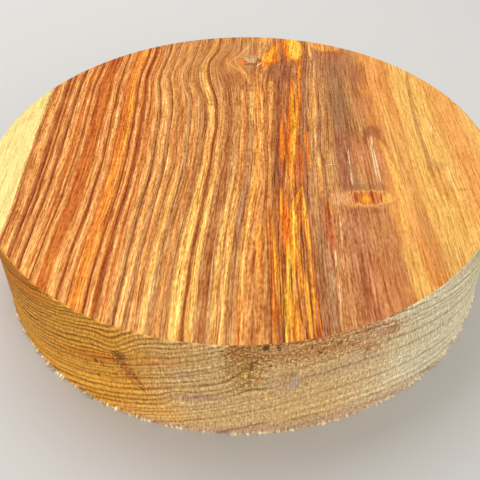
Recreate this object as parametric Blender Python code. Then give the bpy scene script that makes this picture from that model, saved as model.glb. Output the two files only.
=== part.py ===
"""A round bowl blank of canarywood, planed flat on top and band-sawn round its wall.

Metres, +Z up. The origin is the middle of the underside, and the fibres of the wood run along Y.
"""

import math
import random

import bmesh
import bpy
from mathutils import Vector

# The driving dimensions.
FACE_DIAMETER = 0.216
THICKNESS = 0.050

# The sharp upper arris, and the ragged lip of fibres that the saw blade tore out along the lower edge.
# A tooth of the lip reaches out by a share of LIP_REACH, and its root starts at a share of LIP_HEIGHT.
ARRIS = 0.0003
LIP_REACH = 0.0018
LIP_HEIGHT = 0.0034
LIP_TIP_HEIGHT = 0.0006
LIP_FOOT = 0.7
LIP_ROOT = (0.45, 1.0)
LONG_GRAIN_LIP = 0.45
LONG_TOOTH = (0.45, 1.0)
LONG_TOOTH_SHARE = 0.42
SHORT_TOOTH = (0.12, 0.35)

# The faint upright flutes that the saw blade left in the wall, as waves round the blank.
FLUTE_DEPTH = 0.00012
FLUTE_WAVES = (37, 61, 94)
FLUTE_LEAN = 2.0

# The hollow where a small knot broke out of the planed face near its far edge.
PIT_CENTRE = (0.0062, 0.0822)
PIT_LENGTH = 0.0095
PIT_WIDTH = 0.0062
PIT_DEPTH = 0.0011
PIT_ROUGHNESS = (0.86, 1.08)

WALL_STEPS = 720
WALL_ROWS = 3
SEED = 11

RADIUS = FACE_DIAMETER / 2
PLANED_RADIUS = RADIUS - 2 * FLUTE_DEPTH - ARRIS


def clear_scene():
    """Removes every object that the scene starts with."""
    for thing in list(bpy.data.objects):
        bpy.data.objects.remove(thing)


def wood_material():
    """The planed face's average colour: warm orange brown, dry and matt."""
    material = bpy.data.materials.new("canarywood")
    material.use_nodes = True
    shader = material.node_tree.nodes["Principled BSDF"]
    shader.inputs["Base Color"].default_value = (0.62, 0.26, 0.075, 1.0)
    shader.inputs["Roughness"].default_value = 0.55
    shader.inputs["Metallic"].default_value = 0.0
    return material


def angle_of(step):
    """The angle round the axis, from +X, of one step of the wall."""
    return math.tau * step / WALL_STEPS


def wall_radius(step, height):
    """The sawn wall's radius: its flutes are cut inwards, by up to twice FLUTE_DEPTH."""
    lean = FLUTE_LEAN * height / THICKNESS
    waves = sum(math.sin(count * angle_of(step) + lean + count) for count in FLUTE_WAVES)
    return RADIUS - FLUTE_DEPTH * (1 - waves / len(FLUTE_WAVES))


def lip_teeth():
    """For each step, how far the torn lip reaches out and how high it starts.

    It is longest at the front and back, where the saw cut the fibres square across.
    """
    draw = random.Random(SEED)
    teeth = []
    for step in range(WALL_STEPS):
        end_grain = abs(math.sin(angle_of(step)))
        most = LIP_REACH * (LONG_GRAIN_LIP + (1 - LONG_GRAIN_LIP) * end_grain)
        is_long = draw.random() < LONG_TOOTH_SHARE
        reach = most * draw.uniform(*(LONG_TOOTH if is_long else SHORT_TOOTH))
        teeth.append((reach, LIP_HEIGHT * draw.uniform(*LIP_ROOT)))
    return teeth


def ring(mesh, radii, heights):
    """One closed loop of points round the axis, with a radius and a height for each step."""
    points = []
    for step, (radius, height) in enumerate(zip(radii, heights)):
        angle = angle_of(step)
        points.append(mesh.verts.new((radius * math.cos(angle), radius * math.sin(angle), height)))
    return points


def skin(mesh, below, above):
    """Triangles between two loops, facing away from the axis."""
    for step in range(WALL_STEPS):
        after = (step + 1) % WALL_STEPS
        mesh.faces.new((below[step], below[after], above[after]))
        mesh.faces.new((below[step], above[after], above[step]))


def cap(mesh, loop, height, faces_up):
    """A flat disc of triangles from one middle point to a loop."""
    middle = mesh.verts.new((0.0, 0.0, height))
    for step in range(WALL_STEPS):
        after = (step + 1) % WALL_STEPS
        corners = (middle, loop[step], loop[after])
        mesh.faces.new(corners if faces_up else corners[::-1])


def disc_mesh():
    """The disc as one closed mesh: underside, torn lip, fluted wall, arris and planed face."""
    mesh = bmesh.new()
    steps = range(WALL_STEPS)
    reaches, roots = zip(*lip_teeth())

    def wall(height):
        return [wall_radius(step, height) for step in steps]

    foot = [radius + LIP_FOOT * reach for radius, reach in zip(wall(0.0), reaches)]
    tips = [radius + reach for radius, reach in zip(wall(0.0), reaches)]
    loops = [
        ring(mesh, foot, [0.0] * WALL_STEPS),
        ring(mesh, tips, [LIP_TIP_HEIGHT] * WALL_STEPS),
        ring(mesh, wall(LIP_HEIGHT), roots),
    ]
    for row in range(1, WALL_ROWS + 1):
        height = LIP_HEIGHT + (THICKNESS - ARRIS - LIP_HEIGHT) * row / WALL_ROWS
        loops.append(ring(mesh, wall(height), [height] * WALL_STEPS))
    loops.append(ring(mesh, [PLANED_RADIUS] * WALL_STEPS, [THICKNESS] * WALL_STEPS))
    for below, above in zip(loops, loops[1:]):
        skin(mesh, below, above)
    cap(mesh, loops[0], 0.0, faces_up=False)
    cap(mesh, loops[-1], THICKNESS, faces_up=True)
    return mesh


def pit_cutter():
    """A flattened ball with an uneven skin, half sunk in the planed face, that hollows the broken knot."""
    mesh = bmesh.new()
    bmesh.ops.create_icosphere(mesh, subdivisions=2, radius=1.0)
    draw = random.Random(SEED)
    for point in mesh.verts:
        point.co *= draw.uniform(*PIT_ROUGHNESS)
        point.co = Vector((
            PIT_CENTRE[0] + point.co.x * PIT_LENGTH / 2,
            PIT_CENTRE[1] + point.co.y * PIT_WIDTH / 2,
            THICKNESS + point.co.z * PIT_DEPTH,
        ))
    data = bpy.data.meshes.new("pit_cutter")
    mesh.to_mesh(data)
    mesh.free()
    cutter = bpy.data.objects.new("pit_cutter", data)
    cutter.hide_render = True
    cutter.display_type = "WIRE"
    bpy.context.scene.collection.objects.link(cutter)
    return cutter


def build_blank():
    """The whole blank: one piece of wood, so one object."""
    mesh = disc_mesh()
    data = bpy.data.meshes.new("bowl_blank")
    mesh.to_mesh(data)
    mesh.free()
    data.materials.append(wood_material())
    data.shade_smooth()
    data.set_sharp_from_angle(angle=math.radians(30))
    blank = bpy.data.objects.new("bowl_blank", data)
    bpy.context.scene.collection.objects.link(blank)
    cut = blank.modifiers.new("pit", "BOOLEAN")
    cut.operation = "DIFFERENCE"
    cut.object = pit_cutter()
    cut.solver = "EXACT"
    return blank


if __name__ == "__main__":
    clear_scene()
    build_blank()
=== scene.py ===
"""Looks for a round canarywood bowl blank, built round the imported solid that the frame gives.

The planed face, the band-sawn wall and the underside are one closed mesh, cut from one piece of wood. The torn
fibres along the lower edge are a second piece. Patterns are written in millimetres in the frame's own axes: the
fibres run along Y, and X runs across them from the sapwood to the heart.
"""

from __future__ import annotations

import logging
import math
import random
from abc import ABC, abstractmethod
from dataclasses import dataclass
from enum import Enum, IntEnum
from typing import Iterable, Optional, Sequence, Union

import bmesh
import bpy
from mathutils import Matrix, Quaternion, Vector, noise

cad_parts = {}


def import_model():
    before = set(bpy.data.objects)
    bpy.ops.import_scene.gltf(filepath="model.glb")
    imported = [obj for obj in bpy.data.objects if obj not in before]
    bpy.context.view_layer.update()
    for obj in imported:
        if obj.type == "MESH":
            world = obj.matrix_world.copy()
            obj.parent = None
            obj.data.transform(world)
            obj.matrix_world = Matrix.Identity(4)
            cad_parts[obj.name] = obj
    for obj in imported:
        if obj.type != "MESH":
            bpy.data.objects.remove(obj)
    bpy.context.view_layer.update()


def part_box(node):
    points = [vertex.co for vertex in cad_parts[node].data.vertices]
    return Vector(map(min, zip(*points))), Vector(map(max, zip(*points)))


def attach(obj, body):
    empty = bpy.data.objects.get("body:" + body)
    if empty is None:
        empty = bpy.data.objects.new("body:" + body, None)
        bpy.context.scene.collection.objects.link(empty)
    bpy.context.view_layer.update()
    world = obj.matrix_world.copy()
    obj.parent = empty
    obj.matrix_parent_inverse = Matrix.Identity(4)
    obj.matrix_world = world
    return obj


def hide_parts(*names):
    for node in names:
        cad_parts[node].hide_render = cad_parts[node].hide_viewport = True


NODE = "bowl_blank"
BODY = "root"
BAKE_MAP = "OFBake"
MM = 0.001
MILLIMETRES = 1000.0

# The disc's radius in metres, without its torn lip. Its thickness comes from the frame.
RADIUS = 0.108

# How many steps of a run of colours one colour ramp takes, because it holds 32 stops at most.
RAMP_STEPS = 30

# How far the noise is spread, so that nearly all of it lies between -1 and 1.
NOISE_SPREAD = 3.2

# Points nearer than this, in metres, count as level.
LEVEL = 1e-6

UPWARDS = (0.0, 0.0, 1.0)

# What the torn lip's node tree is given, and the kind of each.
LIP_INPUTS: dict[str, str] = {
    "Radius": "Float", "Longest": "Float", "Count": "Int", "Width": "Float", "Seed": "Int", "Finish": "Material",
}

Colour = tuple[float, float, float, float]
Pair = tuple[float, float]
Mesh = bmesh.types.BMesh
Point = bmesh.types.BMVert
Socket = bpy.types.NodeSocket

# A smooth step: where it starts and ends, and its level at each.
Step = tuple[float, float, float, float]

log = logging.getLogger("bowl_blank")


class Tone(Enum):
    """The wood's colours, and those of the light and shade painted on it, as 8-bit sRGB seen in plain daylight."""

    CREAM = (252, 230, 146)
    BUTTER = (255, 232, 110)
    PALE = (253, 226, 176)
    LEMON = (255, 198, 74)
    HONEY = (253, 194, 98)
    STRAW = (245, 170, 92)
    GOLD = (246, 188, 100)
    AMBER = (254, 168, 50)
    ORANGE = (236, 124, 38)
    FLAME = (240, 108, 44)
    BRICK = (208, 106, 56)
    COPPER = (212, 118, 48)
    RUSSET = (202, 104, 42)
    RUST = (160, 70, 22)
    TAN = (226, 148, 76)
    FAWN = (204, 142, 82)
    SHELL = (232, 164, 108)
    EMBER = (240, 152, 66)
    CLOVE = (180, 118, 80)
    BONE = (224, 178, 132)
    MUSK = (180, 144, 120)
    OLIVE = (152, 106, 46)
    ROSE = (212, 136, 86)
    UMBER = (152, 84, 38)
    COCOA = (182, 108, 56)
    MAUVE = (170, 102, 64)
    PLUM = (134, 74, 46)
    DUSK = (170, 120, 78)
    MOSS = (146, 108, 70)
    SOOT = (92, 66, 40)
    OAK = (196, 128, 68)
    OCHRE = (208, 146, 58)
    SIENNA = (204, 120, 36)
    SAND = (194, 158, 106)
    BEIGE = (202, 188, 154)
    ASH = (158, 146, 136)
    FIBRE = (255, 230, 184)

    def linear(self, gain: float, gloss: float = 0.0) -> Colour:
        """The tone as the colour of a socket.

        Args:
            gain: How much light the tone keeps.
            gloss: What the sheen of the surface adds to each channel, which the tone leaves out.

        Returns:
            Linear red, green, blue and alpha.
        """
        return (*(max(0.0, straightened(level / 255) * gain - gloss) for level in self.value), 1.0)


def straightened(part: float) -> float:
    """One channel from 0 to 1, taken off the sRGB curve."""
    return part / 12.92 if part <= 0.04045 else ((part + 0.055) / 1.055) ** 2.4


def grey(level: float) -> Colour:
    """A shade from -1 to 1 as a grey from black to white."""
    return ((level + 1) / 2, (level + 1) / 2, (level + 1) / 2, 1.0)


Number = Union[float, "Field"]


@dataclass(frozen=True)
class Field:
    """A value at every point of a surface: one output socket of a shader graph."""

    graph: "Graph"
    socket: Socket

    def __add__(self, other: Number) -> "Field":
        """This value plus another."""
        return self.graph.math("ADD", self, other)

    def __sub__(self, other: Number) -> "Field":
        """This value less another."""
        return self.graph.math("SUBTRACT", self, other)

    def __mul__(self, other: Number) -> "Field":
        """This value times another."""
        return self.graph.math("MULTIPLY", self, other)

    def __truediv__(self, other: Number) -> "Field":
        """This value divided by another."""
        return self.graph.math("DIVIDE", self, other)

    __radd__ = __add__


class Graph:
    """A shader graph that is written as formulas."""

    def __init__(self, tree: bpy.types.NodeTree) -> None:
        """Starts on an empty tree or on a new material's.

        Args:
            tree: Where the nodes go.
        """
        self.tree = tree
        self.shader = tree.nodes.get("Principled BSDF")

    def node(self, kind: str, **settings: object) -> bpy.types.Node:
        """Adds a node.

        Args:
            kind: The node's type, without its ShaderNode prefix.
            settings: Its properties.

        Returns:
            The new node.
        """
        made = self.tree.nodes.new("ShaderNode" + kind)
        for name, value in settings.items():
            setattr(made, name, value)
        return made

    def feed(self, socket: Socket, value: object) -> None:
        """Links a field to a socket, or sets a plain value on it.

        Args:
            socket: The input to feed.
            value: A field, or what the socket holds by default.
        """
        if isinstance(value, Field):
            self.tree.links.new(value.socket, socket)
        else:
            socket.default_value = value

    def math(self, operation: str, *values: Number) -> Field:
        """One arithmetic step.

        Args:
            operation: The Math node's operation.
            values: Its inputs in order.

        Returns:
            The result.
        """
        made = self.node("Math", operation=operation)
        for socket, value in zip(made.inputs, values):
            self.feed(socket, value)
        return Field(self, made.outputs[0])

    def smooth(self, value: Field, low: Number, high: Number, least: float = 0.0, most: Number = 1.0) -> Field:
        """A smooth step from one level to another.

        Args:
            value: What is stepped.
            low: Where the step leaves its first level. It may be above high, for a step down.
            high: Where it reaches its second level.
            least: The first level.
            most: The second level.

        Returns:
            The stepped value.
        """
        made = self.node("MapRange", interpolation_type="SMOOTHSTEP")
        for socket, number in zip(made.inputs[:5], (value, low, high, least, most)):
            self.feed(socket, number)
        return Field(self, made.outputs[0])

    def bump(self, value: Field, middle: float, width: float) -> Field:
        """A bell curve.

        Args:
            value: Where along the curve.
            middle: Where it peaks at 1.
            width: How far from there it has fallen to 1/e.

        Returns:
            The height of the curve.
        """
        away = self.math("MULTIPLY_ADD", value, 1 / width, -middle / width)
        return self.math("EXPONENT", away * away * -1.0)

    def vector(self, x: Number, y: Number, z: Number = 0.0) -> Field:
        """A vector from three parts.

        Args:
            x: The first part.
            y: The second part.
            z: The third part.

        Returns:
            The vector.
        """
        made = self.node("CombineXYZ")
        for socket, part in zip(made.inputs, (x, y, z)):
            self.feed(socket, part)
        return Field(self, made.outputs[0])

    def parts(self, vector: Field) -> list[Field]:
        """A vector's three parts.

        Args:
            vector: The vector.

        Returns:
            Its parts in order.
        """
        made = self.node("SeparateXYZ")
        self.feed(made.inputs[0], vector)
        return [Field(self, socket) for socket in made.outputs]

    def dot(self, vector: Field, weights: Field) -> Field:
        """The sum of a vector's parts, each times its weight.

        Args:
            vector: The vector.
            weights: The weights, as another vector.

        Returns:
            The sum.
        """
        made = self.node("VectorMath", operation="DOT_PRODUCT")
        self.feed(made.inputs[0], vector)
        self.feed(made.inputs[1], weights)
        return Field(self, made.outputs["Value"])

    def place(self) -> list[Field]:
        """The point on the piece as its three parts, in millimetres in the frame's axes.

        Returns:
            The place along X, Y and Z.
        """
        coordinates = self.node("TexCoord")
        scaled = self.node("VectorMath", operation="SCALE")
        self.tree.links.new(coordinates.outputs["Object"], scaled.inputs[0])
        scaled.inputs["Scale"].default_value = MILLIMETRES
        return self.parts(Field(self, scaled.outputs[0]))

    def noise(self, x: Number, y: Number, z: Number = 0.0, detail: float = 1.0, rough: float = 0.5) -> Field:
        """Seeded noise with a mean of 0 and nearly all of it between -1 and 1.

        Args:
            x: First coordinate, in grains of the noise.
            y: Second coordinate.
            z: Third coordinate, which may be a plain number that picks the pattern.
            detail: How many finer layers are added.
            rough: How strong those layers are.

        Returns:
            The noise.
        """
        made = self.node("TexNoise", noise_dimensions="3D")
        self.feed(made.inputs["Vector"], self.vector(x, y, z))
        made.inputs["Scale"].default_value = 1.0
        made.inputs["Detail"].default_value = detail
        made.inputs["Roughness"].default_value = rough
        return self.math("MULTIPLY_ADD", Field(self, made.outputs[0]), NOISE_SPREAD, -NOISE_SPREAD / 2)

    def mix(self, share: Number, under: object, over: object, kind: str = "MIX") -> Field:
        """Lays one colour over another.

        Args:
            share: How much of the upper colour shows.
            under: The lower colour.
            over: The upper colour.
            kind: How they blend.

        Returns:
            The blended colour.
        """
        made = self.node("Mix", data_type="RGBA", blend_type=kind)
        for socket, value in zip((made.inputs[0], made.inputs[6], made.inputs[7]), (share, under, over)):
            self.feed(socket, value)
        return Field(self, made.outputs[2])

    def scaled(self, colour: Field, strength: Number, fall: Sequence[float]) -> Field:
        """Makes a colour lighter or darker, with each channel falling at its own rate.

        Args:
            colour: The colour.
            strength: Above 0 to lighten, below 0 to darken, as a natural logarithm.
            fall: How strongly red, green and blue follow.

        Returns:
            The changed colour.
        """
        factor = self.vector(*(self.math("EXPONENT", self.math("MULTIPLY", strength, rate)) for rate in fall))
        return self.mix(1.0, colour, factor, "MULTIPLY")

    def ramp(self, value: Field, stops: Sequence[tuple[float, Colour]]) -> Field:
        """A run of colours along a value.

        Args:
            value: Where along the run.
            stops: Rising positions, in the value's own units, and the colour at each.

        Returns:
            The colour met there, from as many colour ramps end to end as the stops need.
        """
        colour = None
        for start in range(0, len(stops) - 1, RAMP_STEPS):
            part = stops[start:start + RAMP_STEPS + 1]
            first, span = part[0][0], part[-1][0] - part[0][0]
            made = self.node("ValToRGB")
            self.feed(made.inputs[0], self.math("MULTIPLY_ADD", value, 1 / span, -first / span))
            made.color_ramp.interpolation = "EASE"
            elements = made.color_ramp.elements
            elements.remove(elements[-1])
            elements[0].position = 0.0
            elements[0].color = part[0][1]
            for at, shade in part[1:]:
                elements.new((at - first) / span).color = shade
            found = Field(self, made.outputs[0])
            colour = found if colour is None else self.mix(self.math("GREATER_THAN", value, first), colour, found)
        return colour


@dataclass(frozen=True)
class Rise:
    """A smooth step from 0 at its start to 1 at its end, which may lie on either side of it."""

    start: float
    end: float

    def over(self, graph: Graph, value: Field) -> Field:
        """The step along a value."""
        return graph.smooth(value, self.start, self.end)


@dataclass(frozen=True)
class Bell:
    """A bell curve that peaks at 1 and has fallen to 1/e at its width from there."""

    middle: float
    width: float

    def over(self, graph: Graph, value: Field) -> Field:
        """The curve along a value."""
        return graph.bump(value, self.middle, self.width)


@dataclass(frozen=True)
class Zone:
    """An amount that belongs to one part of a surface, with soft edges across and along it."""

    amount: float
    across: tuple[Union[Rise, Bell], ...] = ()
    along: tuple[Union[Rise, Bell], ...] = ()

    def at(self, graph: Graph, across: Field, along: Field) -> Number:
        """The amount at each point.

        Args:
            graph: The surface's graph.
            across: The place across the surface, in millimetres.
            along: The place along it.

        Returns:
            The amount, times every one of the zone's edges.
        """
        value: Number = self.amount
        for edge in self.across:
            value = edge.over(graph, across) * value
        for edge in self.along:
            value = edge.over(graph, along) * value
        return value


def total(graph: Graph, zones: Iterable[Zone], across: Field, along: Field) -> Number:
    """The sum of several zones at each point."""
    return sum(zone.at(graph, across, along) for zone in zones)


@dataclass(frozen=True)
class Grain:
    """A noise in the wood: how many of its grains fit in a millimetre across and along, and its pattern."""

    across: float
    along: float
    pattern: float
    detail: float = 1.0
    rough: float = 0.5

    def over(self, graph: Graph, across: Field, along: Field) -> Field:
        """The noise at each point of a surface."""
        return graph.noise(across * self.across, along * self.along, self.pattern, self.detail, self.rough)


@dataclass(frozen=True)
class Finish(ABC):
    """What every finish of the wood has. The depth of its relief is in metres."""

    name: str
    gain: float
    gloss: float = 0.0
    roughness: float = 0.8
    specular: float = 0.5
    relief_strength: float = 0.0
    relief_depth: float = 0.0

    @abstractmethod
    def look(self, graph: Graph) -> tuple[Field, Optional[Field]]:
        """Works out the finish at every point.

        Args:
            graph: The material's graph.

        Returns:
            Its colour and the height of its relief, if it has one.
        """

    def shows(self, tone: Tone) -> Colour:
        """A tone as this finish shows it."""
        return tone.linear(self.gain, self.gloss)

    def material(self) -> bpy.types.Material:
        """The finish as a material.

        Returns:
            The new material.
        """
        made = bpy.data.materials.new(self.name)
        made.use_nodes = True
        graph = Graph(made.node_tree)
        colour, height = self.look(graph)
        graph.feed(graph.shader.inputs["Base Color"], colour)
        graph.shader.inputs["Roughness"].default_value = self.roughness
        graph.shader.inputs["Specular IOR Level"].default_value = self.specular
        if height is not None:
            relief = graph.node("Bump")
            relief.inputs["Strength"].default_value = self.relief_strength
            relief.inputs["Distance"].default_value = self.relief_depth
            graph.feed(relief.inputs["Height"], height)
            graph.tree.links.new(relief.outputs[0], graph.shader.inputs["Normal"])
        return made


class Outline(Enum):
    """The outline of a mark."""

    ROUND = "an ellipse"
    BLOCK = "a block with rounded corners"


@dataclass(frozen=True)
class Mark:
    """A patch of another colour laid on a surface, with frayed edges: mostly the wood's own colour, at a few places
    painted shadow. Its places are in millimetres.
    """

    tone: Tone
    centre: Pair
    radii: Pair
    turn: float
    strength: float
    soft: float
    fray: float
    outline: Outline = Outline.ROUND

    def axes(self) -> dict[str, tuple[float, float, float]]:
        """How a place is measured in the mark's own radii.

        Returns:
            For each of its axes, the weights of the place across, the place along and 1.
        """
        angle = math.radians(self.turn)
        (x, y), (wide, long), cosine, sine = self.centre, self.radii, math.cos(angle), math.sin(angle)
        return {
            "Across": (cosine / wide, sine / wide, -(cosine * x + sine * y) / wide),
            "Along": (-sine / long, cosine / long, (sine * x - cosine * y) / long),
        }


def streak(tone: Tone, start: Pair, end: Pair, width: float,
           strength: float = 1.0, soft: float = 0.5, fray: float = 0.9) -> Mark:
    """A thin mark from one place on the planed face to another.

    Args:
        tone: Its colour.
        start: One end, in millimetres.
        end: The other end.
        width: How wide it is half way.
        strength: How much it covers.
        soft: How soft its edges are.
        fray: How much the fibres fray them.

    Returns:
        The mark.
    """
    across, along = end[0] - start[0], end[1] - start[1]
    middle = ((start[0] + end[0]) / 2, (start[1] + end[1]) / 2)
    turn = math.degrees(math.atan2(-across, along))
    return Mark(tone, middle, (width / 2, math.hypot(across, along) / 2), turn, strength, soft, fray)


class Brush:
    """Lays marks on one surface, with the steps that lay one as a node group for each outline."""

    INPUTS: dict[str, str] = {
        "Under": "Color", "Place": "Vector", "Fibres": "Float", "Across": "Vector", "Along": "Vector",
        "Tone": "Color", "Fray": "Float", "Edge": "Float", "Core": "Float", "Strength": "Float",
    }

    def __init__(self, graph: Graph, finish: Finish, fibres: Field, waver: float) -> None:
        """Builds the groups.

        Args:
            graph: The surface's graph.
            finish: The surface's finish.
            fibres: Noise that frays the edges of the marks.
            waver: How far that noise pushes a mark aside, in millimetres.
        """
        self.graph = graph
        self.finish = finish
        self.fibres = fibres
        self.waver = waver
        self.groups = {outline: self.group(outline) for outline in Outline}

    def lay(self, under: Field, marks: Iterable[Mark], across: Field, along: Field) -> Field:
        """Lays marks over a colour, one after another.

        Args:
            under: The colour so far.
            marks: What is laid.
            across: The place across the surface.
            along: The place along it.

        Returns:
            The colour with the marks.
        """
        place = self.graph.vector(across + self.fibres * self.waver, along, 1.0)
        for mark in marks:
            made = self.graph.node("Group")
            made.node_tree = self.groups[mark.outline]
            values = {
                "Under": under, "Place": place, "Fibres": self.fibres, **mark.axes(),
                "Tone": self.finish.shows(mark.tone), "Fray": mark.fray,
                "Edge": 1 + mark.soft, "Core": 1 - mark.soft, "Strength": mark.strength,
            }
            for name, value in values.items():
                self.graph.feed(made.inputs[name], value)
            under = Field(self.graph, made.outputs[0])
        return under

    def group(self, outline: Outline) -> bpy.types.NodeTree:
        """The steps that lay a mark of one outline.

        Args:
            outline: The outline.

        Returns:
            The new node group.
        """
        tree = bpy.data.node_groups.new(f"{self.finish.name}_{outline.name.lower()}_mark", "ShaderNodeTree")
        for label, kind in self.INPUTS.items():
            tree.interface.new_socket(label, in_out="INPUT", socket_type="NodeSocket" + kind)
        tree.interface.new_socket("Colour", in_out="OUTPUT", socket_type="NodeSocketColor")
        graph = Graph(tree)
        entry = tree.nodes.new("NodeGroupInput")
        given = {label: Field(graph, entry.outputs[label]) for label in self.INPUTS}
        across = graph.dot(given["Place"], given["Across"])
        along = graph.dot(given["Place"], given["Along"])
        if outline is Outline.ROUND:
            away = graph.math("MULTIPLY_ADD", across, across, along * along)
        else:
            across, along = across * across, along * along
            away = graph.math("SQRT", graph.math("MULTIPLY_ADD", across, across, along * along))
        frayed = graph.math("MULTIPLY_ADD", given["Fibres"], given["Fray"], away)
        share = graph.smooth(frayed, given["Edge"], given["Core"], 0.0, given["Strength"])
        leave = tree.nodes.new("NodeGroupOutput")
        graph.feed(leave.inputs[0], graph.mix(share, given["Under"], given["Tone"]))
        return tree


@dataclass(frozen=True)
class GrainFlow:
    """How far the rings have drifted sideways along the planed face, in millimetres.

    Towards the front they lean to the left by a different amount at each place across the face. Towards the back
    they lean to the right, and part round a knot. Between them, groups of rings bulge or hang slack.
    """

    front_leans: tuple[Zone, ...] = (
        Zone(5.4, (Rise(-93.0, -72.0),)),
        Zone(2.4, (Rise(-50.0, -30.0),)),
        Zone(0.6, (Rise(-12.0, -2.0),)),
        Zone(-4.4, (Rise(0.0, 12.0),)),
        Zone(-1.2, (Rise(14.0, 24.0),)),
        Zone(-2.0, (Rise(30.0, 45.0),)),
    )
    front_reach: float = 55.0
    front_pull: float = 1.3
    back_lean: Zone = Zone(2.2, (), (Rise(55.0, 95.0),))
    heart_lean: Zone = Zone(1.2, (Rise(-25.0, -10.0), Rise(60.0, 35.0)), (Rise(0.0, 25.0),))
    left_lean: Zone = Zone(0.6, (Rise(-48.0, -54.0),), (Bell(-34.0, 16.0),))
    slack: Zone = Zone(0.5, (Rise(-46.0, -34.0), Rise(2.0, -8.0)), (Bell(28.0, 22.0),))
    bulge: Zone = Zone(-2.1, (Rise(-58.0, -34.0), Rise(0.0, -12.0)), (Bell(66.0, 14.0),))
    streak_lean: Zone = Zone(0.045, (Rise(8.0, 18.0), Rise(60.0, 35.0)))
    knot: Pair = (6.0, 80.0)
    knot_push: float = 100.0
    knot_core: float = 25.0
    knot_squash: float = 2.5
    knot_side: Zone = Zone(1.0, (Rise(9.0, 2.0), Rise(-60.0, -20.0)))

    def ring(self, graph: Graph, x: Field, y: Field) -> Field:
        """The ring that a point of the face is on, as its place across the middle of the face.

        Args:
            graph: The face's graph.
            x: Place across the fibres.
            y: Place along them.

        Returns:
            Where the same ring crosses y = 0.
        """
        ahead = graph.math("MAXIMUM", y * -1.0, 0.0)
        behind = graph.math("MAXIMUM", y, 0.0)
        squared = ahead * ahead
        reach = squared * self.front_pull / (squared + self.front_reach ** 2)
        drifts = (self.back_lean, self.heart_lean, self.left_lean, self.slack, self.bulge)
        drift = total(graph, drifts, x, y) - total(graph, self.front_leans, x, y) * reach
        drift = drift + behind * self.streak_lean.at(graph, x, y)
        return x - drift - self.round_knot(graph, x, y)

    def round_knot(self, graph: Graph, x: Field, y: Field) -> Field:
        """How far the knot pushes the rings aside, as a stream parts round a post.

        Args:
            graph: The face's graph.
            x: Place across the fibres.
            y: Place along them.

        Returns:
            The push, in millimetres to the right.
        """
        across = x - self.knot[0]
        along = y - self.knot[1]
        spread = across * across + along * along * self.knot_squash + self.knot_core
        return across * self.knot_push / spread * self.knot_side.at(graph, x, y)


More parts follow.
